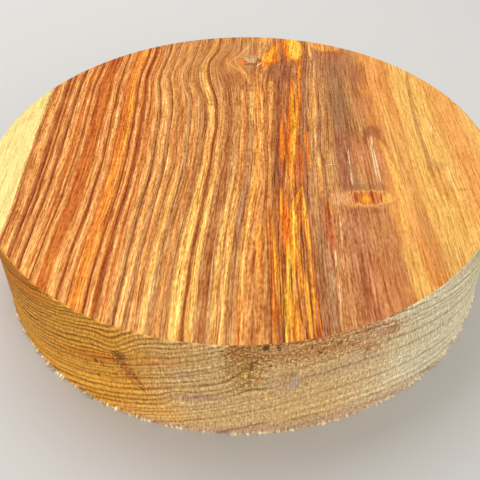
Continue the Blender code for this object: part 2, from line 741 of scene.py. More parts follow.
# The rings met in turn across the middle of the planed face, from the sapwood to the streaked heart.
RINGS: tuple[tuple[float, Tone], ...] = (
    (-100, Tone.CREAM), (-92.4, Tone.CREAM), (-91.6, Tone.TAN), (-90.5, Tone.COCOA), (-89.4, Tone.TAN),
    (-88.2, Tone.STRAW), (-86.9, Tone.STRAW), (-85.6, Tone.COCOA), (-84.6, Tone.RUST), (-83.6, Tone.TAN),
    (-82.5, Tone.RUST), (-81.3, Tone.STRAW), (-80.2, Tone.TAN), (-79.3, Tone.COCOA), (-78.4, Tone.RUST),
    (-77.4, Tone.STRAW), (-75.8, Tone.STRAW), (-74.6, Tone.RUSSET), (-73.5, Tone.COPPER), (-72.5, Tone.STRAW),
    (-71.5, Tone.RUST), (-70.5, Tone.TAN), (-69.5, Tone.TAN), (-68.7, Tone.RUSSET), (-67.5, Tone.RUSSET),
    (-66.4, Tone.COPPER), (-65.2, Tone.COPPER), (-63.6, Tone.RUSSET), (-62.5, Tone.TAN), (-61.5, Tone.STRAW),
    (-60.5, Tone.TAN), (-59.4, Tone.RUST), (-58.4, Tone.TAN), (-57.5, Tone.STRAW), (-56.5, Tone.TAN),
    (-55.5, Tone.RUSSET), (-54.5, Tone.EMBER), (-53.4, Tone.ORANGE), (-52.6, Tone.EMBER), (-51.7, Tone.EMBER),
    (-50.6, Tone.EMBER), (-49.3, Tone.RUST), (-48.3, Tone.TAN), (-47.4, Tone.STRAW), (-46.4, Tone.RUSSET),
    (-45.5, Tone.RUST), (-44.6, Tone.COCOA), (-43.6, Tone.STRAW), (-42.4, Tone.RUSSET), (-41.4, Tone.TAN),
    (-40.5, Tone.TAN), (-39.4, Tone.STRAW), (-38.4, Tone.FAWN), (-37.4, Tone.UMBER), (-36.3, Tone.STRAW),
    (-34.8, Tone.STRAW), (-33, Tone.FAWN), (-32, Tone.COCOA), (-31, Tone.STRAW), (-30, Tone.TAN),
    (-28.4, Tone.OAK), (-27.2, Tone.TAN), (-25.8, Tone.STRAW), (-24.6, Tone.FAWN), (-23.6, Tone.FAWN),
    (-22.6, Tone.OAK), (-21.5, Tone.TAN), (-20.5, Tone.TAN), (-19.4, Tone.FAWN), (-18.6, Tone.OAK),
    (-17.6, Tone.OAK), (-16.6, Tone.COCOA), (-15.7, Tone.STRAW), (-14.4, Tone.STRAW), (-13.5, Tone.TAN),
    (-12.8, Tone.UMBER), (-12.2, Tone.UMBER), (-11.5, Tone.TAN), (-10.3, Tone.STRAW), (-9.4, Tone.TAN),
    (-8.5, Tone.FAWN), (-7.4, Tone.OAK), (-6.4, Tone.COCOA), (-5.4, Tone.COCOA), (-4.4, Tone.FAWN),
    (-3, Tone.FAWN), (-2, Tone.TAN), (-1.2, Tone.OAK), (-0.4, Tone.STRAW), (0.8, Tone.TAN),
    (2.2, Tone.OAK), (3.4, Tone.FAWN), (4.6, Tone.FAWN), (5.6, Tone.TAN), (6.8, Tone.EMBER),
    (8.4, Tone.STRAW), (9.6, Tone.TAN), (10.6, Tone.COCOA), (11.6, Tone.TAN), (13.4, Tone.OAK),
    (14.8, Tone.COCOA), (16.2, Tone.MAUVE), (17.4, Tone.COCOA), (19, Tone.TAN), (20.4, Tone.COCOA),
    (22.5, Tone.TAN), (24.6, Tone.COCOA), (27, Tone.CLOVE), (29.5, Tone.FAWN), (31.6, Tone.FAWN),
    (33.2, Tone.CLOVE), (36, Tone.FAWN), (39, Tone.FAWN), (42, Tone.CLOVE), (46, Tone.CLOVE),
    (50, Tone.FAWN), (56, Tone.FAWN), (60, Tone.TAN), (66, Tone.STRAW), (72, Tone.TAN),
    (75, Tone.GOLD), (79, Tone.GOLD), (85, Tone.GOLD), (95, Tone.STRAW), (108, Tone.GOLD),
)

# Streaks that follow the rings, placed by ring and by place along the fibres.
RING_STREAKS: tuple[Mark, ...] = (
    streak(Tone.AMBER, (-51.8, 56), (-51.8, 2), 2, 0.8),
    streak(Tone.TAN, (-83, -40), (-83, -104), 2.2, 0.7),
    streak(Tone.STRAW, (-75, -14), (-75, -110), 2.4, 0.85),
    streak(Tone.STRAW, (-69.2, -14), (-69.2, -110), 1.5, 0.7),
    streak(Tone.STRAW, (-63.2, -38), (-63.2, -116), 1.8, 0.8),
    streak(Tone.HONEY, (-26.3, -10), (-26.3, -124), 1.8, 0.65),
    streak(Tone.HONEY, (-15.6, 0), (-15.6, -134), 4, 0.8, 0.35),
    streak(Tone.HONEY, (-10.3, -6), (-10.3, -134), 2.2, 0.8),
    streak(Tone.HONEY, (-2.7, -14), (-2.7, -124), 2, 0.8),
    streak(Tone.HONEY, (1, -30), (1, -124), 1.8, 0.7),
    streak(Tone.CLOVE, (3.4, -14), (3.4, -62), 2.6, 0.7),
    streak(Tone.TAN, (8.8, -12), (8.8, -116), 3.6, 0.8),
    streak(Tone.GOLD, (-15.2, 24), (-15.2, 92), 3.2, 0.8),
    streak(Tone.FAWN, (-10.6, 14), (-10.6, 116), 2, 0.8),
    streak(Tone.OAK, (-3, 14), (-3, 74), 2.4, 0.8),
    streak(Tone.OAK, (-1, 14), (-1, 74), 1.4, 0.7),
)

HEART_BROWN: tuple[Mark, ...] = (
    Mark(Tone.MAUVE, (20, 68), (7, 12), 0, 0.85, 0.6, 1),
    Mark(Tone.MAUVE, (27, 70), (5.4, 11), 0, 0.65, 0.6, 1),
    Mark(Tone.PLUM, (22, 65), (2.2, 7), 0, 0.4, 0.7, 1),
    Mark(Tone.MAUVE, (21.8, 44), (1.8, 13), -4, 0.7, 0.6, 1),
    Mark(Tone.CLOVE, (47, 75), (13, 17), 0, 0.65, 0.7, 0.8),
    Mark(Tone.DUSK, (46, 44), (6, 32), 0, 0.75, 0.7, 0.8),
    Mark(Tone.FAWN, (38.5, 40), (3.2, 26), -3, 0.5, 0.6, 1),
    streak(Tone.MOSS, (49.2, 66), (48.4, 42), 1.8, 0.5, 0.7),
    streak(Tone.MOSS, (47.2, 44), (45.8, 26), 1.6, 0.6, 0.7),
    streak(Tone.MOSS, (44.2, 36), (43.2, 16), 1.3, 0.5, 0.7),
    streak(Tone.MOSS, (51.4, 40), (50.4, 24), 1.1, 0.5, 0.7),
    streak(Tone.MAUVE, (57.4, 76), (55.6, 43), 3.4, 0.75, 0.7),
    streak(Tone.MAUVE, (61.4, 78), (60, 52), 4.4, 0.55, 0.8),
    Mark(Tone.ROSE, (57, 36), (4.8, 10), -6, 0.6, 0.7, 1),
    Mark(Tone.MAUVE, (48.5, 8), (4.6, 14), -14, 0.3, 0.7, 1),
)

MAIN_STREAKS: tuple[Mark, ...] = (
    streak(Tone.ORANGE, (25.5, 62), (24.6, 34), 1.9),
    streak(Tone.RUSSET, (24, 34), (20.6, -18), 5.6, 0.75),
    streak(Tone.ORANGE, (25.2, 46), (21.6, -8), 4.6),
    streak(Tone.AMBER, (25, 52), (23, 4), 2.7),
    streak(Tone.LEMON, (24.6, 30), (22.4, -6), 1.8, 0.8),
    streak(Tone.AMBER, (27.1, 46), (25, 12), 1.8),
    streak(Tone.RUST, (25.9, 47), (25.1, 27), 0.7, 0.9),
    streak(Tone.AMBER, (22.2, 6), (19.6, -29), 1.7),
    streak(Tone.ORANGE, (29.2, 66), (28.2, 38), 1.3),
    streak(Tone.RUSSET, (28.2, 42), (26.6, 22), 1.2),
    streak(Tone.RUSSET, (19.9, 44), (18.9, 18), 1.1, 0.8),
    streak(Tone.RUST, (20.4, 24), (19.4, -8), 1.2, 0.7),
    streak(Tone.ORANGE, (19, 26), (17.2, -14), 2.2),
    streak(Tone.RUST, (30.1, 30), (30, 14), 1.1, 0.6),
    streak(Tone.ORANGE, (28.6, 18), (28.8, -12), 1.7, 0.9),
    streak(Tone.STRAW, (38.6, 80), (35.6, 50), 1.5, 0.7),
    streak(Tone.STRAW, (35.8, 56), (34.2, 24), 2),
    streak(Tone.HONEY, (34, 34), (32.4, 0), 1.3, 0.8),
    streak(Tone.STRAW, (33.4, 0), (31.9, -34), 2, 0.9),
    streak(Tone.TAN, (31.8, 34), (31.2, 18), 1.2, 0.8),
    streak(Tone.HONEY, (9.3, 42), (8.4, 0), 2.6, 0.5),
    streak(Tone.HONEY, (5.2, 54), (5.2, 24), 1.7, 0.8),
    streak(Tone.PLUM, (18.8, 54), (16.6, 6), 1.4, 0.55),
    streak(Tone.PLUM, (16.4, 12), (13.6, -26), 1.9, 0.7),
    streak(Tone.STRAW, (13.6, 40), (13.4, 12), 1.1, 0.6),
    streak(Tone.MAUVE, (18.4, -4), (16.6, -24), 1.2, 0.8),
    streak(Tone.RUST, (19.6, 2), (17, -26), 1.2, 0.8),
    streak(Tone.BRICK, (24.8, 4), (21.6, -34), 1.9, 0.9),
    streak(Tone.RUSSET, (26.4, 10), (25, -30), 1.7, 0.9),
)

FRONT_BUNDLE: tuple[Mark, ...] = (
    streak(Tone.RUSSET, (20, -28), (18.4, -116), 17, 0.75, 0.25),
    streak(Tone.EMBER, (18.6, -40), (17.8, -116), 14, 0.6, 0.4, 0.9),
    streak(Tone.HONEY, (5.2, -10), (4.2, -28), 1.5, 0.8),
    streak(Tone.HONEY, (4.4, -24), (-1.6, -88), 1.7, 0.8),
    streak(Tone.EMBER, (6.8, -42), (5.2, -84), 3, 0.75),
    streak(Tone.AMBER, (6.2, -52), (5.6, -72), 1, 0.7),
    streak(Tone.ORANGE, (10.6, -26), (10, -106), 1.1),
    streak(Tone.AMBER, (12, -46), (11.6, -88), 1.2),
    streak(Tone.RUST, (9.5, -40), (9.2, -104), 0.6, 0.7),
    streak(Tone.ORANGE, (16, -25), (15.2, -46), 1.5),
    streak(Tone.AMBER, (15.9, -28), (15.3, -42), 0.7),
    streak(Tone.ORANGE, (18.2, -34), (16.6, -76), 5.4, 0.95, 0.3),
    streak(Tone.FLAME, (17.4, -38), (16.8, -60), 2.2, 0.4),
    streak(Tone.AMBER, (24.4, -26), (18.8, -42), 2, 0.9),
    streak(Tone.AMBER, (20.6, -33), (18.9, -70), 2.2),
    streak(Tone.LEMON, (20.2, -38), (19, -66), 1.3),
    streak(Tone.AMBER, (17.2, -57), (15.6, -100), 3.1, 0.95),
    streak(Tone.LEMON, (16.8, -61), (16, -86), 1.9, 0.8),
    streak(Tone.LEMON, (14.8, -80), (13.8, -112), 1.4, 0.9),
    streak(Tone.AMBER, (18, -92), (17.2, -112), 1.4, 0.8),
    streak(Tone.ORANGE, (10.6, -76), (10, -112), 1, 0.7),
    streak(Tone.PLUM, (13.6, -44), (13.6, -84), 1.2, 0.9),
    streak(Tone.PLUM, (13.5, -74), (12.8, -110), 1.2, 0.9),
    streak(Tone.PLUM, (22.3, -49), (21.8, -79), 1.5, 0.95),
    streak(Tone.BRICK, (23.3, -34), (23.5, -66), 0.8, 0.8),
    streak(Tone.AMBER, (24.4, -26), (24.8, -68), 1.7),
    streak(Tone.LEMON, (24.6, -30), (24.9, -62), 0.9),
    streak(Tone.AMBER, (24.5, -66), (23.8, -98), 1),
    streak(Tone.ORANGE, (25.7, -62), (25.3, -106), 1),
    streak(Tone.AMBER, (22.4, -78), (21.9, -110), 1),
    streak(Tone.PLUM, (23.2, -70), (22.9, -102), 0.6, 0.9),
    streak(Tone.PLUM, (18.9, -72), (19.3, -98), 0.9, 0.9),
    streak(Tone.MAUVE, (20.6, -82), (20.8, -110), 1.3, 0.8),
)

FRONT_BROWN: tuple[Mark, ...] = (
    Mark(Tone.ROSE, (43, -68), (18.5, 42), 0, 0.5, 0.4, 0.8),
    Mark(Tone.DUSK, (29, -80), (3.4, 34), 0, 0.65, 0.5, 0.8),
    Mark(Tone.MAUVE, (27.2, -96), (1.6, 9), 0, 0.5, 0.6, 1),
    Mark(Tone.BRICK, (49, -84), (8, 18), 0, 0.25, 0.7, 1.1),
    Mark(Tone.MAUVE, (42, -76), (2.4, 18), 0, 0.25, 0.7, 1.2),
    Mark(Tone.BRICK, (33.2, -49), (1.6, 12), -1, 0.6, 0.6, 1.4),
    Mark(Tone.BRICK, (33.4, -59), (1.3, 4.6), 0, 0.4, 0.5, 1.2),
    streak(Tone.AMBER, (34.3, -36), (34.8, -43), 1, 0.7),
    streak(Tone.SHELL, (45.8, -71), (44.8, -92), 1.4, 0.9),
    streak(Tone.SHELL, (41.2, -60), (40.8, -76), 0.8, 0.6),
    streak(Tone.SHELL, (31.8, -64), (31.6, -72), 1.4, 0.6),
    streak(Tone.MAUVE, (52.6, -58), (51.6, -82), 2, 0.4),
    streak(Tone.MAUVE, (49.6, -74), (49.4, -90), 0.9, 0.4),
    streak(Tone.MAUVE, (57, -60), (56.4, -88), 2.2, 0.3),
    Mark(Tone.GOLD, (62, -76), (3.4, 20), 2, 0.8, 0.5, 0.8),
    Mark(Tone.STRAW, (61.8, -50), (2.6, 12), 2, 0.6, 0.6, 0.8),
    Mark(Tone.FAWN, (69.2, -52), (2.2, 12), 0, 0.5, 0.6, 0.8),
    Mark(Tone.FAWN, (74.4, -70), (5.4, 9), 0, 0.45, 0.7, 1.4),
    Mark(Tone.TAN, (67.4, -70), (2.4, 16), 3, 0.75, 0.6, 0.8),
)

ARCH: tuple[Mark, ...] = (
    Mark(Tone.ROSE, (55, -8), (7, 20), 0, 0.7, 0.5, 0.8),
    Mark(Tone.MAUVE, (58.6, 14), (4, 4.6), 0, 0.7, 0.7, 1.2),
    streak(Tone.MAUVE, (57.4, 17), (53, 3), 2.6, 0.75, 0.7, 1.2),
    streak(Tone.MAUVE, (60.6, 17), (63.4, 2), 2.2, 0.6, 0.7, 1.2),
    streak(Tone.BRICK, (63.4, 8), (65.2, -16), 1.4, 0.6, 0.6, 1.2),
    streak(Tone.RUSSET, (64.6, -10), (66.4, -30), 1.2, 0.5, 0.6, 1.2),
    streak(Tone.MAUVE, (52.4, 20), (46, -2), 2.6, 0.45, 0.8, 1.2),
    streak(Tone.MAUVE, (45.8, 2), (41, -26), 2.4, 0.5, 0.8, 1.2),
    streak(Tone.HONEY, (61.8, 4), (63.2, -22), 2.2, 0.7, 0.6, 0.9),
    streak(Tone.HONEY, (62.8, -8), (64, -40), 2.8, 0.6, 0.7, 1.3),
    streak(Tone.HONEY, (64, -30), (61.4, -56), 2.6, 0.7, 0.6, 0.9),
)

PIN_KNOT: tuple[Mark, ...] = (
    # Painted shadow: the dark bands above and below the knot.
    Mark(Tone.MOSS, (50, -25.8), (11.5, 2.4), -4, 0.4, 0.9, 2.6),
    Mark(Tone.MAUVE, (48.8, -41.2), (8.5, 2.2), 2, 0.4, 0.9, 2.4),
    Mark(Tone.SHELL, (38.4, -32.6), (2.9, 4.6), 0, 0.8, 0.5, 1.6, Outline.BLOCK),
    Mark(Tone.STRAW, (48.6, -33.3), (7.9, 5.1), 0, 0.9, 0.3, 1.2, Outline.BLOCK),
    Mark(Tone.STRAW, (54.6, -33), (7, 4.4), 0, 0.9, 0.3, 1.2),
    streak(Tone.SHELL, (41.4, -29.6), (41.1, -37.8), 0.9, 0.7, 0.6, 1.2),
    streak(Tone.SHELL, (36.9, -29), (37.2, -38), 0.7, 0.5, 0.6, 1.4),
    Mark(Tone.SHELL, (43.2, -33.2), (1.6, 3.8), 0, 0.6, 0.5, 1),
    streak(Tone.LEMON, (56.6, -36.8), (60.4, -34.4), 1.1, 0.7, 0.5, 0.8),
    Mark(Tone.HONEY, (58.2, -32.6), (1.6, 2.6), 0, 0.7, 0.5, 1),
    Mark(Tone.BRICK, (50.4, -32.9), (5.7, 3.8), 0, 0.85, 0.3, 1.2, Outline.BLOCK),
    streak(Tone.RUST, (45.4, -28.8), (45.2, -36.8), 1.2, 0.9, 0.5, 0.8),
    streak(Tone.RUST, (52, -29.2), (52.1, -36.6), 0.8, 0.8, 0.5, 0.8),
    streak(Tone.SHELL, (53.2, -30.2), (53.2, -36.8), 0.6, 0.7, 0.5, 0.8),
    streak(Tone.RUST, (55.8, -29.6), (55.7, -36.2), 0.8, 0.7, 0.5, 0.8),
    streak(Tone.AMBER, (49.7, -29.8), (49.5, -35.4), 1.6, 0.8, 0.5, 0.8),
    Mark(Tone.AMBER, (49.4, -34), (1.8, 2.3), 0, 0.9, 0.5, 0.8),
)

BROKEN_KNOT: tuple[Mark, ...] = (
    Mark(Tone.FAWN, (-16, 84), (20, 24), 0, 0.25, 0.8, 0.8),
    Mark(Tone.FAWN, (7, 95), (12.5, 9.5), -20, 0.85, 0.6, 0.9),
    Mark(Tone.COCOA, (1, 60), (12, 8), 0, 0.55, 0.7, 1.3),
    Mark(Tone.MAUVE, (9.5, 71), (4.4, 6.4), 0, 0.6, 0.6, 1.4),
    streak(Tone.SHELL, (6.4, 98.4), (0.4, 89.6), 1.2, 0.7, 0.5, 1.1),
    streak(Tone.SHELL, (1.4, 91.6), (-2.6, 82), 1.2, 0.8, 0.5, 1),
    streak(Tone.SHELL, (0.2, 97), (-4.4, 86), 1.2, 0.7, 0.5, 1),
    streak(Tone.STRAW, (-3, 86), (-1.6, 76), 1.2, 0.8, 0.5, 1),
    streak(Tone.STRAW, (-6.8, 84), (-5.4, 70), 1.2, 0.8, 0.5, 1),
    Mark(Tone.ORANGE, (1.8, 80.2), (2.1, 3.2), -15, 0.6, 0.6, 1.4),
    streak(Tone.STRAW, (-0.8, 77), (3.4, 66), 1.5, 0.9),
    streak(Tone.STRAW, (3.2, 68), (4.8, 57), 1.8, 0.8),
    streak(Tone.STRAW, (6.6, 70), (12, 66), 1.6, 0.5),
    Mark(Tone.TAN, (8.6, 65), (4.4, 3), -10, 0.5, 0.6, 1.2),
    # Painted shadow: the dark patch under the hollow and the dark spot at its right stand in for the hollow's shade.
    Mark(Tone.UMBER, (6.4, 77.8), (4.4, 2), 0, 0.7, 0.6, 1.4),
    Mark(Tone.MOSS, (9.6, 82), (2, 2.6), 0, 0.9, 0.5, 1.2),
    Mark(Tone.BONE, (5.2, 84.2), (3.8, 2.2), -8, 0.9, 0.4, 1.6),
    Mark(Tone.BONE, (6.2, 81.6), (2.2, 2.4), 0, 0.9, 0.4, 1.6),
    streak(Tone.BONE, (8.6, 86.2), (11.2, 83), 1, 0.7, 0.5, 1),
    # Painted shadow at the rim of the hollow.
    Mark(Tone.UMBER, (2.8, 81.8), (0.6, 1.4), 0, 0.8, 0.5, 1),
    Mark(Tone.UMBER, (10.6, 80.4), (0.6, 1.6), -30, 0.7, 0.5, 0.8),
    streak(Tone.PALE, (11.4, 79.4), (8.6, 75.2), 0.8, 0.9, 0.5, 0.6),
    Mark(Tone.ORANGE, (16.6, 87.6), (3.1, 12.6), -22, 1, 0.3, 0.8),
    Mark(Tone.ORANGE, (16, 83), (4.5, 4.8), 20, 1, 0.3, 0.9),
    streak(Tone.ORANGE, (15.8, 84), (12.8, 73.6), 3.2, 1, 0.4, 0.8),
    Mark(Tone.AMBER, (16.6, 88.6), (1.9, 9.6), -22, 0.9, 0.6, 1.2),
    Mark(Tone.AMBER, (14.6, 83.6), (3, 4.4), 10, 0.75, 0.6, 1.4),
    streak(Tone.LEMON, (12.6, 86), (11.6, 80), 0.8, 0.8),
    streak(Tone.MOSS, (21.6, 99), (21.2, 84), 1.5, 0.8, 0.5, 1.1),
)

FAR_PATCHES: tuple[Mark, ...] = (
    Mark(Tone.ORANGE, (27.8, 95), (5.3, 14.4), 2, 1, 0.2, 0.6),
    Mark(Tone.FLAME, (23.6, 92), (1.2, 9), 2, 0.5, 0.6, 1),
    Mark(Tone.AMBER, (28.4, 95), (4.6, 13.6), 1, 0.9, 0.3, 0.7),
    Mark(Tone.LEMON, (29, 94), (3.2, 12), 1, 0.9, 0.5, 0.8),
    streak(Tone.ORANGE, (31.8, 86), (29.6, 66), 2),
    streak(Tone.AMBER, (30.4, 75), (29.3, 62), 1.9, 0.9),
    streak(Tone.COCOA, (34.4, 104), (34.2, 80), 1.9, 0.8),
    streak(Tone.HONEY, (36.4, 104), (36.9, 83), 1.7, 0.8),
    Mark(Tone.STRAW, (45, 97), (9, 7), -32, 0.75, 0.3, 0.8),
    Mark(Tone.AMBER, (44, 95), (5, 3.6), -30, 0.5, 0.6, 1),
    Mark(Tone.RUSSET, (46, 88.2), (5, 1.8), 0, 0.6, 0.7, 1.2),
    Mark(Tone.BRICK, (53, 87.4), (3.2, 2.2), 0, 0.7, 0.7, 1.2),
)

GOLDEN_SIDE: tuple[Mark, ...] = (
    streak(Tone.GOLD, (78.4, 78), (75.6, 24), 4.2, 0.8, 0.5, 0.7),
    streak(Tone.GOLD, (75.2, 32), (73.2, -54), 4.6, 0.8, 0.5, 0.7),
    streak(Tone.GOLD, (86, 68), (83.8, -10), 4.4, 0.7, 0.5, 0.7),
    streak(Tone.FAWN, (83.6, 70), (80.6, 40), 2, 0.8, 0.7, 0.8),
    streak(Tone.FAWN, (81.2, 48), (79.6, 20), 2, 0.8, 0.7, 0.8),
    streak(Tone.FAWN, (79.6, 30), (79.4, -16), 2.2, 0.8, 0.7, 0.8),
    Mark(Tone.FAWN, (81, -12.5), (4.4, 4), 0, 0.5, 0.8, 1.4),
    Mark(Tone.TAN, (81, -24), (2.8, 10), 0, 0.5, 0.7, 1.2),
    streak(Tone.TAN, (89.4, 60), (88.2, 20), 1.8, 0.7, 0.6, 0.7),
    streak(Tone.TAN, (90, 22), (89.6, -18), 1.6, 0.5, 0.6, 0.7),
    streak(Tone.TAN, (84.8, -22), (84.6, -56), 1.6, 0.7, 0.6, 0.7),
    Mark(Tone.GOLD, (68, 0), (4, 40), 0, 0.5, 0.6, 0.8),
    streak(Tone.FAWN, (66.4, 18), (68.8, -22), 1.8, 0.5, 0.7, 0.8),
    streak(Tone.FAWN, (69, -16), (69.4, -52), 1.8, 0.5, 0.7, 0.8),
    Mark(Tone.OCHRE, (89.5, -28.6), (3.2, 0.6), 0, 0.6, 0.5, 0.6),
)

FLECKS: tuple[Mark, ...] = (
    streak(Tone.PALE, (57.8, 10.8), (57.2, 2.6), 0.6, 0.8, 0.5, 0.5),
    streak(Tone.PALE, (56.5, 4.4), (55.9, -20), 0.7, 0.9, 0.5, 0.6),
    streak(Tone.PALE, (57.3, 1), (57, -23), 0.6, 0.8, 0.5, 0.6),
    streak(Tone.PALE, (46.4, 1), (45.5, -14), 0.7, 0.5, 0.5, 0.8),
    streak(Tone.PALE, (45.6, -14), (45.2, -24), 0.8, 0.7, 0.5, 0.8),
    Mark(Tone.PALE, (38.2, -10.3), (1.5, 0.3), 0, 0.6, 0.5, 0.2),
    streak(Tone.PALE, (37.8, -42), (37.2, -60), 0.7, 0.3, 0.5, 0.9),
    streak(Tone.PALE, (34.2, -63), (33.2, -73), 0.7, 0.7, 0.5, 0.9),
    streak(Tone.PALE, (33.6, -80), (33, -91), 0.6, 0.8, 0.5, 0.6),
    streak(Tone.PALE, (11.1, -32), (10.8, -39), 0.5, 0.8, 0.5, 0.5),
    streak(Tone.PALE, (86.3, -12), (86.2, -30), 0.5, 0.5, 0.5, 0.6),
    streak(Tone.PALE, (85.7, 17.8), (85, 11.6), 0.7, 0.7, 0.5, 0.5),
)


@dataclass(frozen=True)
class ResinThreads:
    """Threads of yellow resin, and the dark pores between them, in the front half of the streaked heart."""

    grain: Grain = Grain(1.5, 0.02, 29.0, 2.0, 0.6)
    lean: float = -0.02
    start: Rise = Rise(-24.0, -46.0)
    start_fray: float = 14.0
    left: Rise = Rise(4.5, 12.0)
    left_fray: float = 1.5
    right: Rise = Rise(26.3, 25.8)
    resin: Rise = Rise(0.1, 0.45)
    resin_strength: float = 0.65
    pores: Rise = Rise(-0.16, -0.45)
    pore_strength: float = 0.8

    def lay(self, graph: Graph, finish: Finish, colour: Field, x: Field, y: Field, rough: Field) -> Field:
        """Lays the threads over a colour.

        Args:
            graph: The face's graph.
            finish: The face's finish.
            colour: The colour so far.
            x: Place across the fibres.
            y: Place along them.
            rough: Noise that frays the left edge of the threads.

        Returns:
            The colour with the threads.
        """
        thread = self.grain.over(graph, graph.math("MULTIPLY_ADD", y, self.lean, x), y)
        start = self.start.over(graph, graph.math("MULTIPLY_ADD", thread, self.start_fray, y))
        left = self.left.over(graph, graph.math("MULTIPLY_ADD", rough, self.left_fray, x))
        bundle = start * left * self.right.over(graph, x)
        resin = bundle * self.resin.over(graph, thread) * self.resin_strength
        pores = bundle * self.pores.over(graph, thread) * self.pore_strength
        colour = graph.mix(resin, colour, finish.shows(Tone.AMBER))
        return graph.mix(pores, colour, finish.shows(Tone.PLUM))


@dataclass(frozen=True)
class RingedFace(Finish):
    """A flat face that shows the growth rings: the underside, and what lies under the planed top's figure."""

    name: str = "sawn_underside"
    gain: float = 0.9
    gloss: float = 0.006
    roughness: float = 0.8
    specular: float = 0.05
    relief_strength: float = 0.25
    relief_depth: float = 0.08 * MM
    flow: GrainFlow = GrainFlow(knot_push=0.0)
    wander: Grain = Grain(0.16, 0.03, 3.0, 2.0)
    wander_reach: float = 0.45
    lines: Grain = Grain(1.1, 0.017, 7.0, 3.0, 0.65)
    line_depth: float = 0.85
    fibres: Grain = Grain(1.55, 0.08, 11.0, 2.0, 0.6)
    fibre_depth: float = 1.25
    grain: Grain = Grain(1.9, 0.4, 19.0)
    grain_depth: float = 0.7
    patches: Grain = Grain(0.2, 0.03, 23.0, 2.0)
    patch_depth: float = 0.12
    ring_fray: float = 0.35
    splits: Rise = Rise(-0.08, -0.4)
    split_depth: float = 0.25
    calm_heart: Step = (24.0, 68.0, 1.0, 0.5)
    calm_sapwood: Step = (-91.5, -93.5, 1.0, 0.3)
    calm_knot: Zone = Zone(-0.45, (Bell(-3.0, 9.0),), (Bell(80.0, 15.0),))
    calm_back: Zone = Zone(-0.2, (Rise(-50.0, -35.0), Rise(24.0, 10.0)), (Rise(40.0, 80.0),))
    # Painted light: the front left is made paler and softer in colour as a painted sheen, and the back left and the
    # middle of the back are made darker as painted shade.
    painted_sheen_front: Zone = Zone(0.18, (Rise(10.0, -25.0),), (Rise(-20.0, -80.0),))
    painted_shade_back_left: Zone = Zone(-0.08, (Rise(-45.0, -60.0),), (Rise(5.0, 60.0),))
    painted_shade_middle: Zone = Zone(-0.08, (Rise(-40.0, -30.0), Rise(8.0, 0.0)), (Bell(38.0, 14.0),))
    highlight_loss: float = 0.35
    fall: tuple[float, float, float] = (0.6, 1.05, 1.45)

    def look(self, graph: Graph) -> tuple[Field, Optional[Field]]:
        """Works out the finish at every point.

        Args:
            graph: The material's graph.

        Returns:
            Its colour and the height of its relief.
        """
        x, y, _ = graph.place()
        ring = self.flow.ring(graph, x, y)
        ring = graph.math("MULTIPLY_ADD", self.wander.over(graph, ring, y), self.wander_reach, ring)
        lines = self.lines.over(graph, ring, y)
        fibres = self.fibres.over(graph, ring, y)
        grain = self.grain.over(graph, ring, y)
        rough = (fibres + lines) * 0.5
        tones = [(at, self.shows(tone)) for at, tone in RINGS]
        colour = graph.ramp(graph.math("MULTIPLY_ADD", rough, self.ring_fray, ring), tones)
        colour = self.figure(graph, colour, x, y, ring, rough)
        shade = lines * self.line_depth + fibres * self.fibre_depth + grain * self.grain_depth
        shade = shade - self.splits.over(graph, lines) * self.split_depth
        calm = graph.smooth(x, *self.calm_heart) * graph.smooth(ring, *self.calm_sapwood)
        shade = shade * (calm + total(graph, (self.calm_knot, self.calm_back), x, y))
        shade = shade + self.patches.over(graph, ring, y) * self.patch_depth
        # Adds the painted sheen at the front and the painted shade at the back.
        shade = shade + total(graph, (self.painted_sheen_front, self.painted_shade_back_left, self.painted_shade_middle), x, y)
        shade = shade - graph.math("MAXIMUM", shade, 0.0) * self.highlight_loss
        return graph.scaled(colour, shade, self.fall), rough + grain

    def figure(self, graph: Graph, colour: Field, x: Field, y: Field, ring: Field, rough: Field) -> Field:
        """Lays what stands out from the rings over them, which on a plain face is nothing."""
        return colour


@dataclass(frozen=True)
class PlanedFace(RingedFace):
    """The machine-planed top: streaked, dry, with a slight sheen along the fibres."""

    name: str = "planed_face"
    roughness: float = 0.5
    flow: GrainFlow = GrainFlow()
    waver: float = 0.12
    threads: ResinThreads = ResinThreads()
    marks: tuple[Mark, ...] = (HEART_BROWN + MAIN_STREAKS + FRONT_BUNDLE + FRONT_BROWN + ARCH + PIN_KNOT + GOLDEN_SIDE
                               + BROKEN_KNOT + FAR_PATCHES + FLECKS)

    def figure(self, graph: Graph, colour: Field, x: Field, y: Field, ring: Field, rough: Field) -> Field:
        """Lays the streaks, the knots and the resin over the rings.

        Args:
            graph: The face's graph.
            colour: The rings' colour.
            x: Place across the fibres.
            y: Place along them.
            ring: The ring at each point.
            rough: Noise along the fibres.

        Returns:
            The colour with the whole figure.
        """
        brush = Brush(graph, self, rough, self.waver)
        colour = brush.lay(colour, RING_STREAKS, ring, y)
        colour = brush.lay(colour, self.marks, x, y)
        return self.threads.lay(graph, self, colour, x, y, rough)


